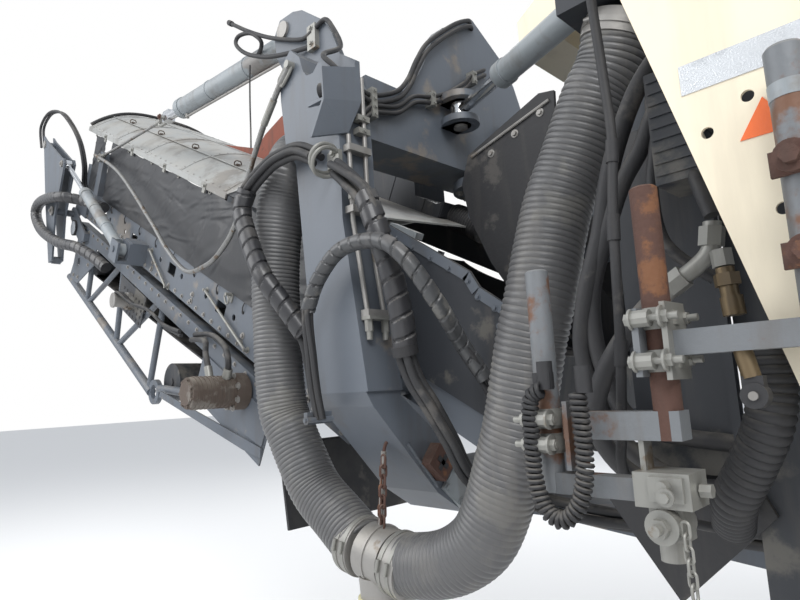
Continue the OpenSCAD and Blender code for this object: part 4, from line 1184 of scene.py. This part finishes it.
def build_drive_motor(looks):
    """Cooling ribs, end bolts, ports and hoses of the belt's drive motor."""
    motor = on_slope((1830, 905, -165))
    ribs = [bar(on_slope((1830, 700 + 22 * k, -165)), OUT, 0, 6, 80, 40) for k in range(9)]
    ribs.append(bar(motor, OUT, 0, 10, 58, 32))
    for a in np.linspace(0, 2 * math.pi, 7, endpoint=False):
        ribs.append(bolt(motor + (64 * math.cos(a), 0, 64 * math.sin(a)), OUT, 14))
    piece("drive_motor_ribs", ribs, "motor_brown", "outer_section")
    ports = [slope_rod((1830, 720, -90), (1830, 720, -40), 22, 20),
             slope_rod((1880, 780, -110), (1920, 780, -70), 20, 20)]
    piece("drive_motor_ports", ports, "zinc_fittings", "outer_section")
    upper = [(1830, 720, -45), (1840, 730, 10), (1960, 700, 30), (2200, 650, -10), (2420, 625, -100)]
    lower = [(1915, 780, -72), (1990, 770, -30), (2160, 700, -30), (2420, 640, -130)]
    hoses = [hose(on_slope(line), 15) for line in (upper, lower)]
    piece("drive_motor_hoses", hoses, "rubber_black", "outer_section")


def build_end_lamps(looks):
    """Round lamps at the outer section's upper end."""
    lamp = on_slope((4873, 601, -122))
    pair("end_lamp_housings", [bar(lamp, OUT, 0, 46, 58, 36, 66), bar(lamp, OUT, 46, 54, 66, 36)],
         "rubber_black", "outer_section")
    pair("end_lamp_glasses", bar(lamp, OUT, 54, 57, 56, 36), "lamp_glass", "outer_section")


def build_belt_cleats(looks):
    """Slanting cleats on the upper run of the inner belt, in pairs that meet near the middle."""
    cleats = []
    for u in np.arange(700, 4750, 180):
        w = 430 - (u - 600) * 180 / 4250 + 114
        for side in (-1, 1):
            cleats.append(slope_rod((u, side * 20, w), (u - 130, side * 400, w + 5), 9, 6))
    piece("belt_cleats", cleats, "rubber_black", "inner_section")


def build_bracket_pins(looks):
    """Pin heads of the lift cylinders and the slewing cylinders, with the round lugs round the latter."""
    heads = [bar(np.array((514, 745, 3347)), OUT, 0, 12, 40, 32),
             bar(np.array((514, 600, 3347)), OUT, 0, 12, 32, 32)]
    heads += [rod((-60, 230, z), (-60, 230, z + 12), 30, 32) for z in (2957, 2811)]
    pair("bracket_pin_heads", heads, "bare_steel", "slew_bracket")
    lugs = [rod((-60, 230, z), (-60, 230, z + 28), 84, 48) for z in (2823, 2929)]
    pair("slew_lug_discs", lugs, "paint_grey", "slew_bracket")


def build_beam_hoses(looks):
    """Two pairs of hoses over the beam and down the column, with their clamps and unions."""
    upper = np.array([(-20, 771, 2830), (-20, 710, 2826), (-20, 582, 2884), (-20, 508, 2962), (-20, 445, 3074),
                      (-20, 360, 3191), (-20, 177, 3348), (-16, 60, 3420), (4, 20, 3430)])
    lower = np.array([(-24, 775, 2660), (-24, 770, 2700), (-22, 707, 2756), (-22, 580, 2794), (-22, 476, 2870),
                      (-22, 369, 2904), (-22, 260, 2957), (-20, 132, 3047), (-20, 67, 3109), (-20, -30, 3170),
                      (4, -60, 3190)])
    for name, line, beside, radius in (("beam_upper_hoses", upper, (-2, -8, -26), 10),
                                       ("beam_lower_hoses", lower, (-2, 6, 24), 9)):
        piece(name, [hose(line, radius), hose(line + beside, radius)], "rubber_black", "slew_bracket")
    clamps = []
    for y, low, high in ((716, 2730, 2850), (369, 2885, 2950), (67, 3088, 3150)):
        clamps.append(block((-38, y - 13, low), (4, y + 13, high)))
        for z in np.linspace(low + 12, high - 12, 4 if high - low > 80 else 2):
            clamps.append(bolt((-38, y, z), (-1, 0, 0), 12))
    for z in (2640, 2690):
        clamps.append(block((-46, 756, z), (-14, 812, z + 22)))
        clamps.append(bolt((-46, 785, z + 11), (-1, 0, 0), 12))
    piece("pipe_clamps", clamps, "zinc_fittings", "slew_bracket")
    ports = [rod((4, 20, 3430), (22, 20, 3430), 15, 6), rod((4, -60, 3190), (24, -60, 3190), 15, 6)]
    piece("bulkhead_unions", ports, "zinc_fittings", "slew_bracket")
    unions = [block((-120, 760, 1940), (-76, 866, 1952))]
    for y in (775, 850):
        unions += [rod((-97, y, 1900), (-95, y, 1962), 15, 6), rod((-97, y, 1872), (-97, y, 1902), 11, 16),
                   rod((-36, y, 2380), (-36, y, 2405), 14, 6)]
    piece("pipe_unions", unions, "zinc_fittings", "slew_bracket")


def build_guard_lamps(looks):
    """Work lamps under the folded guards on the columns."""
    lamp = np.array((4.0, 916, 2788))
    way = unit((0.9, 0.25, 0.1))
    housing = [bar(lamp, way, -22, 22, 24, 32, 31), bar(lamp, way, -34, -22, 14, 20),
               block((-6, 880, 2776), (10, 900, 2800))]
    pair("guard_lamps", housing, "rubber_black", "slew_bracket")
    pair("guard_lamp_glasses", bar(lamp, way, 22, 24, 28, 32), "lamp_glass", "slew_bracket")


def turned_arm(p):
    """Places along the bracket's lower arm: a turn by 42 degrees in the cross plane about its middle."""
    c, s = math.cos(math.radians(42)), math.sin(math.radians(42))
    p = np.asarray(p, float)
    return ARM_MIDDLE + np.stack([p[..., 0], p[..., 1] * c - p[..., 2] * s, p[..., 1] * s + p[..., 2] * c],
                                 axis=-1)


def build_arm_ends(looks):
    """Rusted blocks with a cross-shaped hole, end caps and weld seams on the bracket's lower arms."""
    pair("arm_blocks", moved(block((-46, -52, -44), (0, 52, 44)), turned_arm), "rusted_patch", "slew_bracket")
    cross = [moved(block((-48, -y, -z), (-45, y, z)), turned_arm) for y, z in ((30, 9), (9, 30))]
    pair("arm_block_holes", cross, "rubber_black", "slew_bracket")
    cap = [moved(block((-12, -215, -50), (0, -90, 62)), turned_arm)]
    cap += [bolt(turned_arm((-12, y, z)), (-1, 0, 0), 18) for y in (-200, -105) for z in (-34, 46)]
    pair("arm_end_caps", cap, "paint_pale", "slew_bracket")
    pair("arm_weld_seams", rod((-101, 700, 1515), (-101, 560, 1350), 7, 10), "paint_grey", "slew_bracket")


def build_lift_hoses(looks):
    """Hoses of the left lift cylinder: the capped spare one, the loop to the barrel and the clamped feed."""
    path, length = smooth_path([(281, 762, 3219), (368, 762, 3225), (585, 762, 3338), (775, 762, 3462),
                                (946, 762, 3590)], 12)
    free = piece("lift_spare_hose", tube(path, 10, 12), "rubber_black", "slew_bracket")
    cap = piece("spare_hose_cap", bar(path[-1], unit(path[-1] - path[-2]), 0, 34, 14, 16), "rubber_black",
                "slew_bracket")
    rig.cord(free, row(path[0]), float(length[-1]) / 1000.0, 0.020, "fitting", stiffness="stiff", lay="loose",
            path=[tuple(p) for p in row(path)], with_pieces=(cap,))
    loop = [(290, 756, 3161), (449, 775, 3192), (609, 785, 3246), (765, 790, 3333), (866, 785, 3428),
            (855, 778, 3471), (762, 768, 3446), (690, 758, 3380), (720, 735, 3365), (793, 708, 3370)]
    bending("lift_hose_loop", hose(loop, 10), "rubber_black", ("slew_bracket", "lift_barrel_pair"), loop[1],
            loop[4])
    feed = [(269, 757, 3227), (199, 757, 3237), (149, 757, 3176), (104, 757, 3070), (48, 890, 2960),
            (0, 892, 2900), (-24, 840, 2852), (-20, 771, 2830)]
    piece("lift_feed_hose", hose(feed, 10), "rubber_black", "slew_bracket")
    clamp = [block((255, 745, 3140), (310, 768, 3250))] + [bolt((283, 768, z), OUT, 14) for z in (3165, 3235)]
    piece("lift_hose_clamp", clamp, "zinc_fittings", "slew_bracket")


def build_hanging_strap(looks):
    """Thin strap that hangs from the left lift cylinder's barrel."""
    line = [(846, 722, 3333), (848, 723, 3250), (851, 722, 3120), (850, 721, 3000), (852, 720, 2903)]
    path, length = smooth_path(line, 12)
    hanging = piece("hanging_strap", tube(path, 4, 8), "rubber_black", "lift_barrel_pair")
    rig.cord(hanging, row(path[0]), float(length[-1]) / 1000.0, 0.008, "bare", stiffness="limp", lay="hanging",
            path=[tuple(p) for p in row(path)])


def cylinder_details(start, way, length, radius, rod_radius, label, body):
    """Gland ring, end caps, ports and a hard pipe on a cylinder's barrel."""
    way = unit(way)
    up = unit(np.cross(OUT, way))
    rings = [bar(start, way, length - 46, length + 2, radius + 5, 36), bar(start, way, 72, 96, radius + 4, 36),
             bar(start, way, length + 2, length + 10, rod_radius + 9, 28)]
    rings += [bar(start, way, length * f, length * f + 14, radius + 3, 36) for f in (0.35, 0.68)]
    pipes = [bar(start + up * (radius + 14), way, 130, length - 70, 7, 12)]
    pipes += [bar(start + way * reach, up, radius * 0.7, radius + 24, 13, 6) for reach in (120, length - 80)]
    pair(label + "_rings", rings, "paint_pale", body)
    pair(label + "_pipes", pipes, "bare_steel", body)


def build_cylinders(looks):
    """Rings, ports and pipes on the lift, fold and slewing cylinders."""
    cylinder_details(LIFT_PIN, ROPE_PIN - LIFT_PIN, 1240, 55, 28, "lift_cylinder", "lift_barrel_pair")
    base = on_slope((3450, 750, 90))
    cylinder_details(base, on_slope((4970, 750, 380)) - base, 960, 40, 18, "fold_cylinder", "fold_barrel_pair")
    way = unit(SLEW_EYE - SLEW_BASE)
    rings = join([bar(SLEW_BASE, way, 676, 722, 53, 36), bar(SLEW_BASE, way, 72, 96, 52, 36)])
    port = SLEW_BASE + way * 120
    pipe = join([bar(SLEW_BASE + (0, 0, 58), way, 120, 650, 7, 12),
                 rod(port + (0, 0, 40), port + (0, 0, 68), 13, 6)])
    for label, body in (("left", "slew_barrel_l"), ("right", "slew_barrel_r")):
        for name, part, material in (("_slew_rings", rings, "paint_pale"),
                                     ("_slew_pipes", pipe, "bare_steel")):
            piece(label + name, mirrored(part) if label == "right" else part, material, body)


def build_fold_pins(looks):
    """Caps of the fold hinge and pin heads of the levers."""
    hinge, tip, pin = on_slope((5000, 800, -30)), on_slope((5600, 795, 440)), on_slope((4970, 795, 380))
    pair("hinge_caps", [bar(hinge, OUT, 0, 10, 40, 32), bolt(hinge + OUT * 10, OUT, 24)], "bare_steel",
         "inner_section")
    heads = [bar(tip, OUT, 0, 9, 32, 28), bar(pin, OUT, 0, 10, 28, 28), bolt(pin + OUT * 10, OUT, 16)]
    pair("lever_pin_heads", heads, "bare_steel", "fold_lever_pair")


def build_fold_hoses(looks):
    """The arch of two hoses over the left lever and the wrapped hose that bends over the fold hinge."""
    line = [(4270, 795, 4030), (4323, 795, 4240), (4078, 795, 4283), (3736, 790, 4164), (3487, 780, 3976),
            (3338, 760, 3776), (3325, 730, 3588), (3440, 690, 3468), (3420, 652, 3330)]
    bending("hose_arch", hose_group(line, 11, 2, 13, 0.4), "rubber_black",
            ("inner_section", "fold_lever_pair"), line[5], (4200, 795, 4250))
    line = [(3093, 650, 3190), (3401, 700, 3318), (3560, 845, 3366), (4033, 850, 3449), (4178, 850, 3379),
            (3989, 845, 3192), (3557, 835, 2996), (3259, 790, 2900), (3084, 730, 2802), (2933, 680, 2689)]
    bending("fold_spiral_hose", spiral_wrapped(line, 42, 66, 4), "wrap_black",
            ("inner_section", "outer_section"), line[3], line[6])


def build_reflectors(looks):
    """Reflecting strips and triangular marks on the cream side covers."""
    thick = 1.5
    for name, x0, x1, material in (("silver_strips", -1470, -1299, "reflector_silver"),
                                   ("red_strips", -1580, -1471, "reflector_red")):
        pair(name, block((x0, COVER_FACE, 2128), (x1, COVER_FACE + thick, 2176)), material, "front_frame")
    low = np.array([(-1370, COVER_FACE, 2030), (-1440, COVER_FACE, 2030), (-1405, COVER_FACE, 2085)])
    p = np.vstack([low, low + (0, thick, 0)])
    mark = (p, np.array([(0, 3, 4, 1), (1, 4, 5, 2), (2, 5, 3, 0)]), np.array([(0, 1, 2), (3, 5, 4)]))
    pair("orange_marks", mark, "reflector_orange", "front_frame")


def build_flange_and_filter(looks):
    """Bolts in the rear flange, and the ribs and cap of the air filter."""
    bolts = [bolt((-1970, y, z), (1, 0, 0), 24) for y in np.arange(-820, 821, 164) for z in (1050, 2750)]
    piece("flange_bolts", bolts, "bare_steel", "front_frame")
    ribs = [block((-1284, 1140, z), (-1204, 1144, z + 6)) for z in range(2050, 2240, 22)]
    ribs += [block((-1290, 1036, z), (-1286, 1134, z + 6)) for z in range(2050, 2240, 22)]
    ribs.append(rod((-1244, 1085, 2294), (-1244, 1085, 2306), 44, 32))
    piece("filter_ribs", ribs, "paint_dark", "front_frame")


def upright(x, low, high, radius, sides=40, radius_end=None):
    """Round bar straight up in the plane of the sensor tubes."""
    return rod((x, SENSOR_Y, low), (x, SENSOR_Y, high), radius, sides, radius_end)


def sensor_block(x0, x1, half, z0, z1):
    """Box that reaches the same way to both sides of the plane of the sensor tubes."""
    return block((x0, SENSOR_Y - half, z0), (x1, SENSOR_Y + half, z1))


def build_sensor_tubes(looks):
    """The post, the rusty tube and the grey arms that carry the machine's side sensor."""
    post = [upright(-1446, 1700, 2120, 25), upright(-1446, 2120, 2124, 25, 40, 22),
            sensor_block(-1448, -1262, 18, 1728, 1764)]
    post += [block((-1452, COVER_FACE, z), (-1436, 1280, z + 30)) for z in (1826, 1946)]
    post = piece("sensor_post_round", post, "worn_grey", "front_frame")
    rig.replaces(post, "sensor_post")
    piece("post_band", upright(-1446, 2050, 2072, 25.8), "paint_pale", "front_frame")
    tubes = [upright(-1240, 1608, 1985, 20.5, 48), upright(-1240, 1985, 1988, 20.5, 48, 17)]
    rusty = piece("rusty_sensor_tube", tubes, "rusted_patch", "front_frame")
    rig.replaces(rusty, "sensor_tubes")
    arms = [sensor_block(-1262, -1076, 19, 1608, 1650), upright(-1040, 1521, 1890, 20, 48),
            upright(-1040, 1890, 1893, 20, 48, 16), sensor_block(-1215, -1046, 16, 1520, 1553),
            block((-1226, 1262, 1700), (-1216, 1340, 1800)), sensor_block(-1092, -1084, 30, 1560, 1668)]
    piece("grey_sensor_arms", arms, "worn_grey", "front_frame")


def jaw_clamp(x, z, radius, way):
    """Two half shells round an upright tube with ears, two long bolts and their nuts."""
    centre = np.array((x, SENSOR_Y, z), float)
    way = np.array((way, 0, 0), float)
    parts = [upright(x, z - 11, z + 11, radius + 7, 20), upright(x, z - 16, z + 16, radius + 4, 20)]
    for side in (-1, 1):
        ear = centre + (0, side * (radius + 16), 0)
        parts += [bar(ear, way, -22, 4, 13, 10), bar(ear, way, -34, 44, 5.5, 12),
                  bolt(ear - way * 22, -way, 17), bolt(ear + way * 20, way, 17)]
    return join(parts)


def build_sensor_clamps(looks):
    """Jaw clamps on the sensor tubes and the clamp head with its screws and chain at the arms' end."""
    jaws = [jaw_clamp(-1240, z, 21.5, -1) for z in (1722, 1784)] + [jaw_clamp(-1040, z, 20, 1)
                                                                    for z in (1600, 1640)]
    jaws.append(sensor_block(-1266, -1258, 36, 1694, 1806))
    head = [sensor_block(-1270, -1190, 32, 1516, 1565), block((-1262, 1332, 1526), (-1214, 1338, 1560)),
            sensor_block(-1204, -1196, 14, 1560, 1640),
            rod((-1238, 1338, 1548), (-1238, 1354, 1548), 9, 16), bolt((-1244, 1354, 1536), OUT, 13)]
    for low, high, radius, sides in ((1272, 1340, 24, 24), (1262, 1352, 14, 6), (1352, 1366, 8, 16)):
        head.append(rod((-1228, low, 1492), (-1228, high, 1492), radius, sides))
    head += [sensor_block(-1252, -1204, 20, 1470, 1516), upright(-1226, 1440, 1474, 19, 28),
             rod((-1272, SENSOR_Y, 1540), (-1288, SENSOR_Y, 1540), 10, 6),
             chain_links((-1258, 1334, 1500), (-1262, 1336, 1400), 16, 12, 2.2)]
    clamps = piece("sensor_clamps", jaws + head, "zinc_fittings", "front_frame")
    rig.replaces(clamps, "sensor_holder")
    bolts = []
    for z in (1841, 1961):
        bolts += [rod((-1446, 1318, z), (-1446, 1352, z), 17, 20),
                  rod((-1446, 1318, z), (-1446, 1364, z), 9, 12), bolt((-1446, 1352, z), OUT, 22),
                  block((-1470, 1322, z - 17), (-1416, 1330, z + 17))]
    piece("post_bolts", bolts, "rusted_patch", "front_frame")


def build_fittings(looks):
    """Steel and brass pipe fittings in front of the frame's bay, with the eye of the brass pipe."""
    elbow = [(-1278, 1120, 1954), (-1269, 1120, 1907), (-1241, 1120, 1881), (-1207, 1120, 1862),
             (-1167, 1120, 1836)]
    path = smooth_path(elbow, 8)[0]
    steel = [tube(path, 15, 16), rod(path[1], path[5], 21, 6), rod(path[-9], path[-5], 22, 6),
             rod(path[-5], path[-1], 20, 20), rod((-1293, 1150, 1898), (-1295, 1150, 1870), 17, 6)]
    piece("hose_fittings", steel, "zinc_fittings", "front_frame")
    nuts = [rod((-1296, 1150, 1868), (-1300, 1150, 1815), 14, 20),
            rod((-1297, 1150, 1858), (-1298, 1150, 1838), 20, 6),
            rod((-1300, 1150, 1820), (-1302, 1150, 1790), 17, 20),
            rod((-1345, SENSOR_Y, 1745), (-1355, SENSOR_Y, 1692), 12, 20),
            rod((-1344, SENSOR_Y, 1752), (-1346, SENSOR_Y, 1740), 16, 6)]
    piece("brass_fittings", nuts, "brass_tube", "front_frame")
    eye = np.array((-1357, SENSOR_Y, 1668))
    loop = [bar(eye, OUT, -11, 11, 17, 32), block((-1370, 1291, 1668), (-1344, 1309, 1694))]
    piece("brass_pipe_eye", loop, "rubber_black", "front_frame")
    piece("brass_pipe_screw", bar(eye, OUT, 11, 15, 6, 20), "bare_steel", "front_frame")


def build_bay_hoses(looks):
    """Hoses in the frame's bay, the thin dark screen behind them and the ribbed hose beside them."""
    front = [(-1145, 1200, 2411), (-1152, 1200, 2257), (-1156, 1200, 2121), (-1143, 1200, 1986),
             (-1132, 1200, 1765), (-1120, 1200, 1629), (-1108, 1180, 1530), (-1150, 1080, 1450),
             (-1222, 1000, 1420)]
    rear = [((-1222, 950, 2420), (-1159, 1000, 2326), (-1109, 1000, 2258), (-1056, 1000, 2142),
             (-1018, 1000, 2007), (-969, 1000, 1872), (-945, 985, 1740), (-990, 960, 1580), (-1110, 930, 1480),
             (-1222, 900, 1450)), ((-1222, 960, 2330), (-1163, 1000, 2233), (-1124, 1000, 2164),
                                   (-1078, 1000, 2102), (-1032, 1000, 2004), (-980, 990, 1871),
                                   (-985, 980, 1720), (-1040, 950, 1600), (-1222, 900, 1560)),
            ((-1222, 990, 2380), (-1162, 1000, 2281), (-1156, 1000, 2175), (-1139, 1000, 2074),
             (-1150, 990, 1960), (-1222, 960, 1880)), ((-1288, 1150, 1958), (-1270, 1140, 2020),
                                                       (-1250, 1100, 2080), (-1222, 1060, 2120)),
            ((-1167, 1120, 1836), (-1115, 1120, 1787), (-1046, 1110, 1699), (-1010, 1080, 1600),
             (-1060, 1010, 1500), (-1222, 940, 1480))]
    parts = [hose(front, 9, 12, 14)]
    parts += [hose(line, radius, 14, 14) for line, radius in zip(rear, (20, 18, 12, 13, 19))]
    for a, b in ((front[2], (-1152, 1200, 2080)), (front[3], (-1140, 1200, 1940)),
                 (front[4], (-1129, 1200, 1720))):
        parts.append(rod(a, b, 11.5, 16))
    piece("frame_hoses", parts, "rubber_black", "front_frame")
    screen = [block((-1222, 896, 1500), (-1012, 902, 2250)), block((-1222, 902, 1500), (-1206, 920, 2250))]
    piece("bay_screen", screen, "paint_dark", "front_frame")
    line = [(-1352, 1200, 1760), (-1352, 1200, 1679), (-1340, 1200, 1622), (-1306, 1180, 1561),
            (-1267, 1150, 1503), (-1238, 1080, 1450)]
    piece("frame_ribbed_hose", ribbed(line, 34, 13, 4, 28), "rubber_black", "front_frame")


def build_curly_cord(looks):
    """Curly cord between the sensor arms: base + 11 * (cos a * side + sin a * top), a turn for each 9.2 mm."""
    step, coil_radius, coil_pitch = 1.2, 11.0, 9.2
    base = smooth_path([(-1060, 1344, 1690), (-1036, 1344, 1672), (-1032, 1344, 1607), (-1032, 1344, 1547),
                        (-1048, 1344, 1501), (-1078, 1344, 1486), (-1108, 1344, 1514), (-1122, 1344, 1564),
                        (-1124, 1344, 1624), (-1120, 1342, 1682)], step)[0]
    _, side, top = path_frames(base)
    a = 2 * math.pi * np.arange(len(base)) * step / coil_pitch
    coil = base + coil_radius * (np.cos(a)[:, None] * side + np.sin(a)[:, None] * top)
    real = float(np.linalg.norm(np.diff(coil, axis=0), axis=1).sum()) / 1000.0
    cord = piece("curly_cord", tube(coil, 4.1, 6), "rubber_black", "front_frame", 80)
    end = piece("cord_end_plug", rod(coil[-1] - (0, 0, 2), coil[-1] + (0, 0, 40), 13, 20), "rubber_black",
                "front_frame")
    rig.cord(cord, row(coil[0]), real, 0.0082, "connector", stiffness="medium", lay="coiled",
            path=[tuple(p) for p in row(coil)], with_pieces=(end,))
    start = [rod(coil[0] - (0, 0, 2), coil[0] + (0, 0, 44), 13, 20),
             block((-1072, 1326, 1690), (-1040, 1340, 1716))]
    piece("cord_start_plug", start, "rubber_black", "front_frame")


def build_frame_bolts(looks):
    """Bolts and clamp bars of the aprons, and bolts of the cream cover and the upper fork."""
    aprons = [bolt((x, side * 414, z), (0, side, 0), 16) for side in (1, -1)
              for x, z in ((-560, 2640), (-450, 2600), (-340, 2560), (-590, 2500), (-590, 2380))]
    piece("apron_bolts", aprons, "bare_steel", "front_frame")
    pair("apron_clamp_bars", rod((-600, 418, 2670), (-250, 418, 2575), 6, 8), "bare_steel", "front_frame")
    cover = [bolt((x, 300, z), OUT, 16) for x, z in ((-1180, 3140), (-900, 3150), (-620, 3140), (-480, 3000),
                                                     (-1180, 2990), (-820, 2990))]
    pair("cover_bolts", cover, "bare_steel", "front_frame")
    console = [bolt((math.cos(a) * 118, math.sin(a) * 118, 2590), (0, 0, -1), 22)
               for a in np.linspace(0, 2 * math.pi, 8, endpoint=False)]
    piece("console_bolts", console, "bare_steel", "front_frame")


# Building steps in their order.
GROUPS = (build_suction_hoses, build_tee, build_hose_ends, build_bundles, build_bundle_clamps,
          build_slack_rope, build_lift_ropes, build_curtains, build_roof_sheet, build_roof_seams,
          build_roof_trim, build_hopper_trim, build_air_duct, build_hopper_rail, build_side_bolts,
          build_latches, build_small_motor, build_drive_motor, build_end_lamps, build_belt_cleats,
          build_bracket_pins, build_beam_hoses, build_guard_lamps, build_arm_ends, build_lift_hoses,
          build_hanging_strap, build_cylinders, build_fold_pins, build_fold_hoses, build_reflectors,
          build_flange_and_filter, build_sensor_tubes, build_sensor_clamps, build_fittings, build_bay_hoses,
          build_curly_cord, build_frame_bolts)


class ConveyorLooks(bpy.types.PropertyGroup):
    """Sizes and colours of the pieces that are built in Blender."""

    hose_radius: bpy.props.FloatProperty(name="Hose radius", description="Outer radius of the suction hoses",
                                         default=0.101, unit="LENGTH")
    rib_pitch: bpy.props.FloatProperty(name="Rib pitch",
                                       description="Distance between the ribs of the suction hoses",
                                       default=0.018, unit="LENGTH")
    rib_depth: bpy.props.FloatProperty(name="Rib depth", description="Depth of the grooves between the ribs",
                                       default=0.005, unit="LENGTH")
    bundle_radius: bpy.props.FloatProperty(name="Bundle radius",
                                           description="Outer radius of the wrapped bundles", default=0.039,
                                           unit="LENGTH")
    wrap_pitch: bpy.props.FloatProperty(name="Wrap pitch",
                                        description="Distance between the turns of the spiral band",
                                        default=0.062, unit="LENGTH")
    panel_length: bpy.props.FloatProperty(name="Roof panel",
                                          description="Length of a roof panel along the conveyor",
                                          default=0.62, unit="LENGTH")
    bolt_size: bpy.props.FloatProperty(name="Bolt size",
                                       description="Width across the flats of the usual bolt head",
                                       default=0.019, unit="LENGTH")
    paint_colour: bpy.props.FloatVectorProperty(name="Paint", description="Blue-grey paint of the frames",
                                                default=(0.105, 0.12, 0.142), subtype="COLOR", size=3)
    cream_colour: bpy.props.FloatVectorProperty(name="Cream paint",
                                                description="Paint of the fairings and the cover",
                                                default=(0.80, 0.72, 0.56), subtype="COLOR", size=3)
    hose_colour: bpy.props.FloatVectorProperty(name="Hose grey", description="Colour of the suction hoses",
                                               default=(0.098, 0.098, 0.10), subtype="COLOR", size=3)


class CONVEYOR_OT_stage(bpy.types.Operator):
    """Adds the camera, the floor, the lamps and the white background"""

    bl_idname = "conveyor.stage"
    bl_label = "Camera and stage"

    def execute(self, context):
        """Runs the step."""
        make_camera()
        make_stage()
        return {"FINISHED"}


class CONVEYOR_OT_materials(bpy.types.Operator):
    """Makes the materials and gives them to the CAD nodes"""

    bl_idname = "conveyor.materials"
    bl_label = "Materials"

    def execute(self, context):
        """Runs the step."""
        make_materials(context.scene.conveyor_looks)
        dress_nodes(FRAME)
        return {"FINISHED"}


def group_operator(build):
    """Operator class for one group of pieces, named and described after its building function."""
    def execute(self, context):
        """Runs the step."""
        build(context.scene.conveyor_looks)
        return {"FINISHED"}
    key = build.__name__.removeprefix("build_")
    values = {"bl_idname": "conveyor." + key, "bl_label": key.replace("_", " ").capitalize(),
              "__doc__": build.__doc__, "execute": execute}
    return type("CONVEYOR_OT_" + key, (bpy.types.Operator,), values)


OPERATORS = [CONVEYOR_OT_stage, CONVEYOR_OT_materials] + [group_operator(build) for build in GROUPS]


class CONVEYOR_PT_panel(bpy.types.Panel):
    """Sidebar panel with the sizes, the colours and one button for each step"""

    bl_idname = "CONVEYOR_PT_panel"
    bl_label = "Conveyor unit"
    bl_space_type = "VIEW_3D"
    bl_region_type = "UI"
    bl_category = "Conveyor"

    def draw(self, context):
        """Lists the values and the buttons."""
        looks = context.scene.conveyor_looks
        for key in ConveyorLooks.__annotations__:
            self.layout.prop(looks, key)
        for operator in OPERATORS:
            self.layout.operator(operator.bl_idname)


def register():
    """Registers the classes and the scene's values."""
    for item in [ConveyorLooks] + OPERATORS + [CONVEYOR_PT_panel]:
        bpy.utils.register_class(item)
    bpy.types.Scene.conveyor_looks = bpy.props.PointerProperty(type=ConveyorLooks)


def unregister():
    """Takes the classes and the scene's values out again."""
    del bpy.types.Scene.conveyor_looks
    for item in reversed([ConveyorLooks] + OPERATORS + [CONVEYOR_PT_panel]):
        bpy.utils.unregister_class(item)


def main():
    """Loads the packed frame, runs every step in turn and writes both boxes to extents.json."""
    FRAME.update(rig.load())
    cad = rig.bounds()
    register()
    for operator in OPERATORS:
        group, name = operator.bl_idname.split(".")
        getattr(getattr(bpy.ops, group), name)()
    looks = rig.bounds()
    with open("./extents.json", "w") as out:
        json.dump({"cad": [list(v) for v in cad], "looks": [list(v) for v in looks]}, out)


if __name__ == "__main__":
    main()
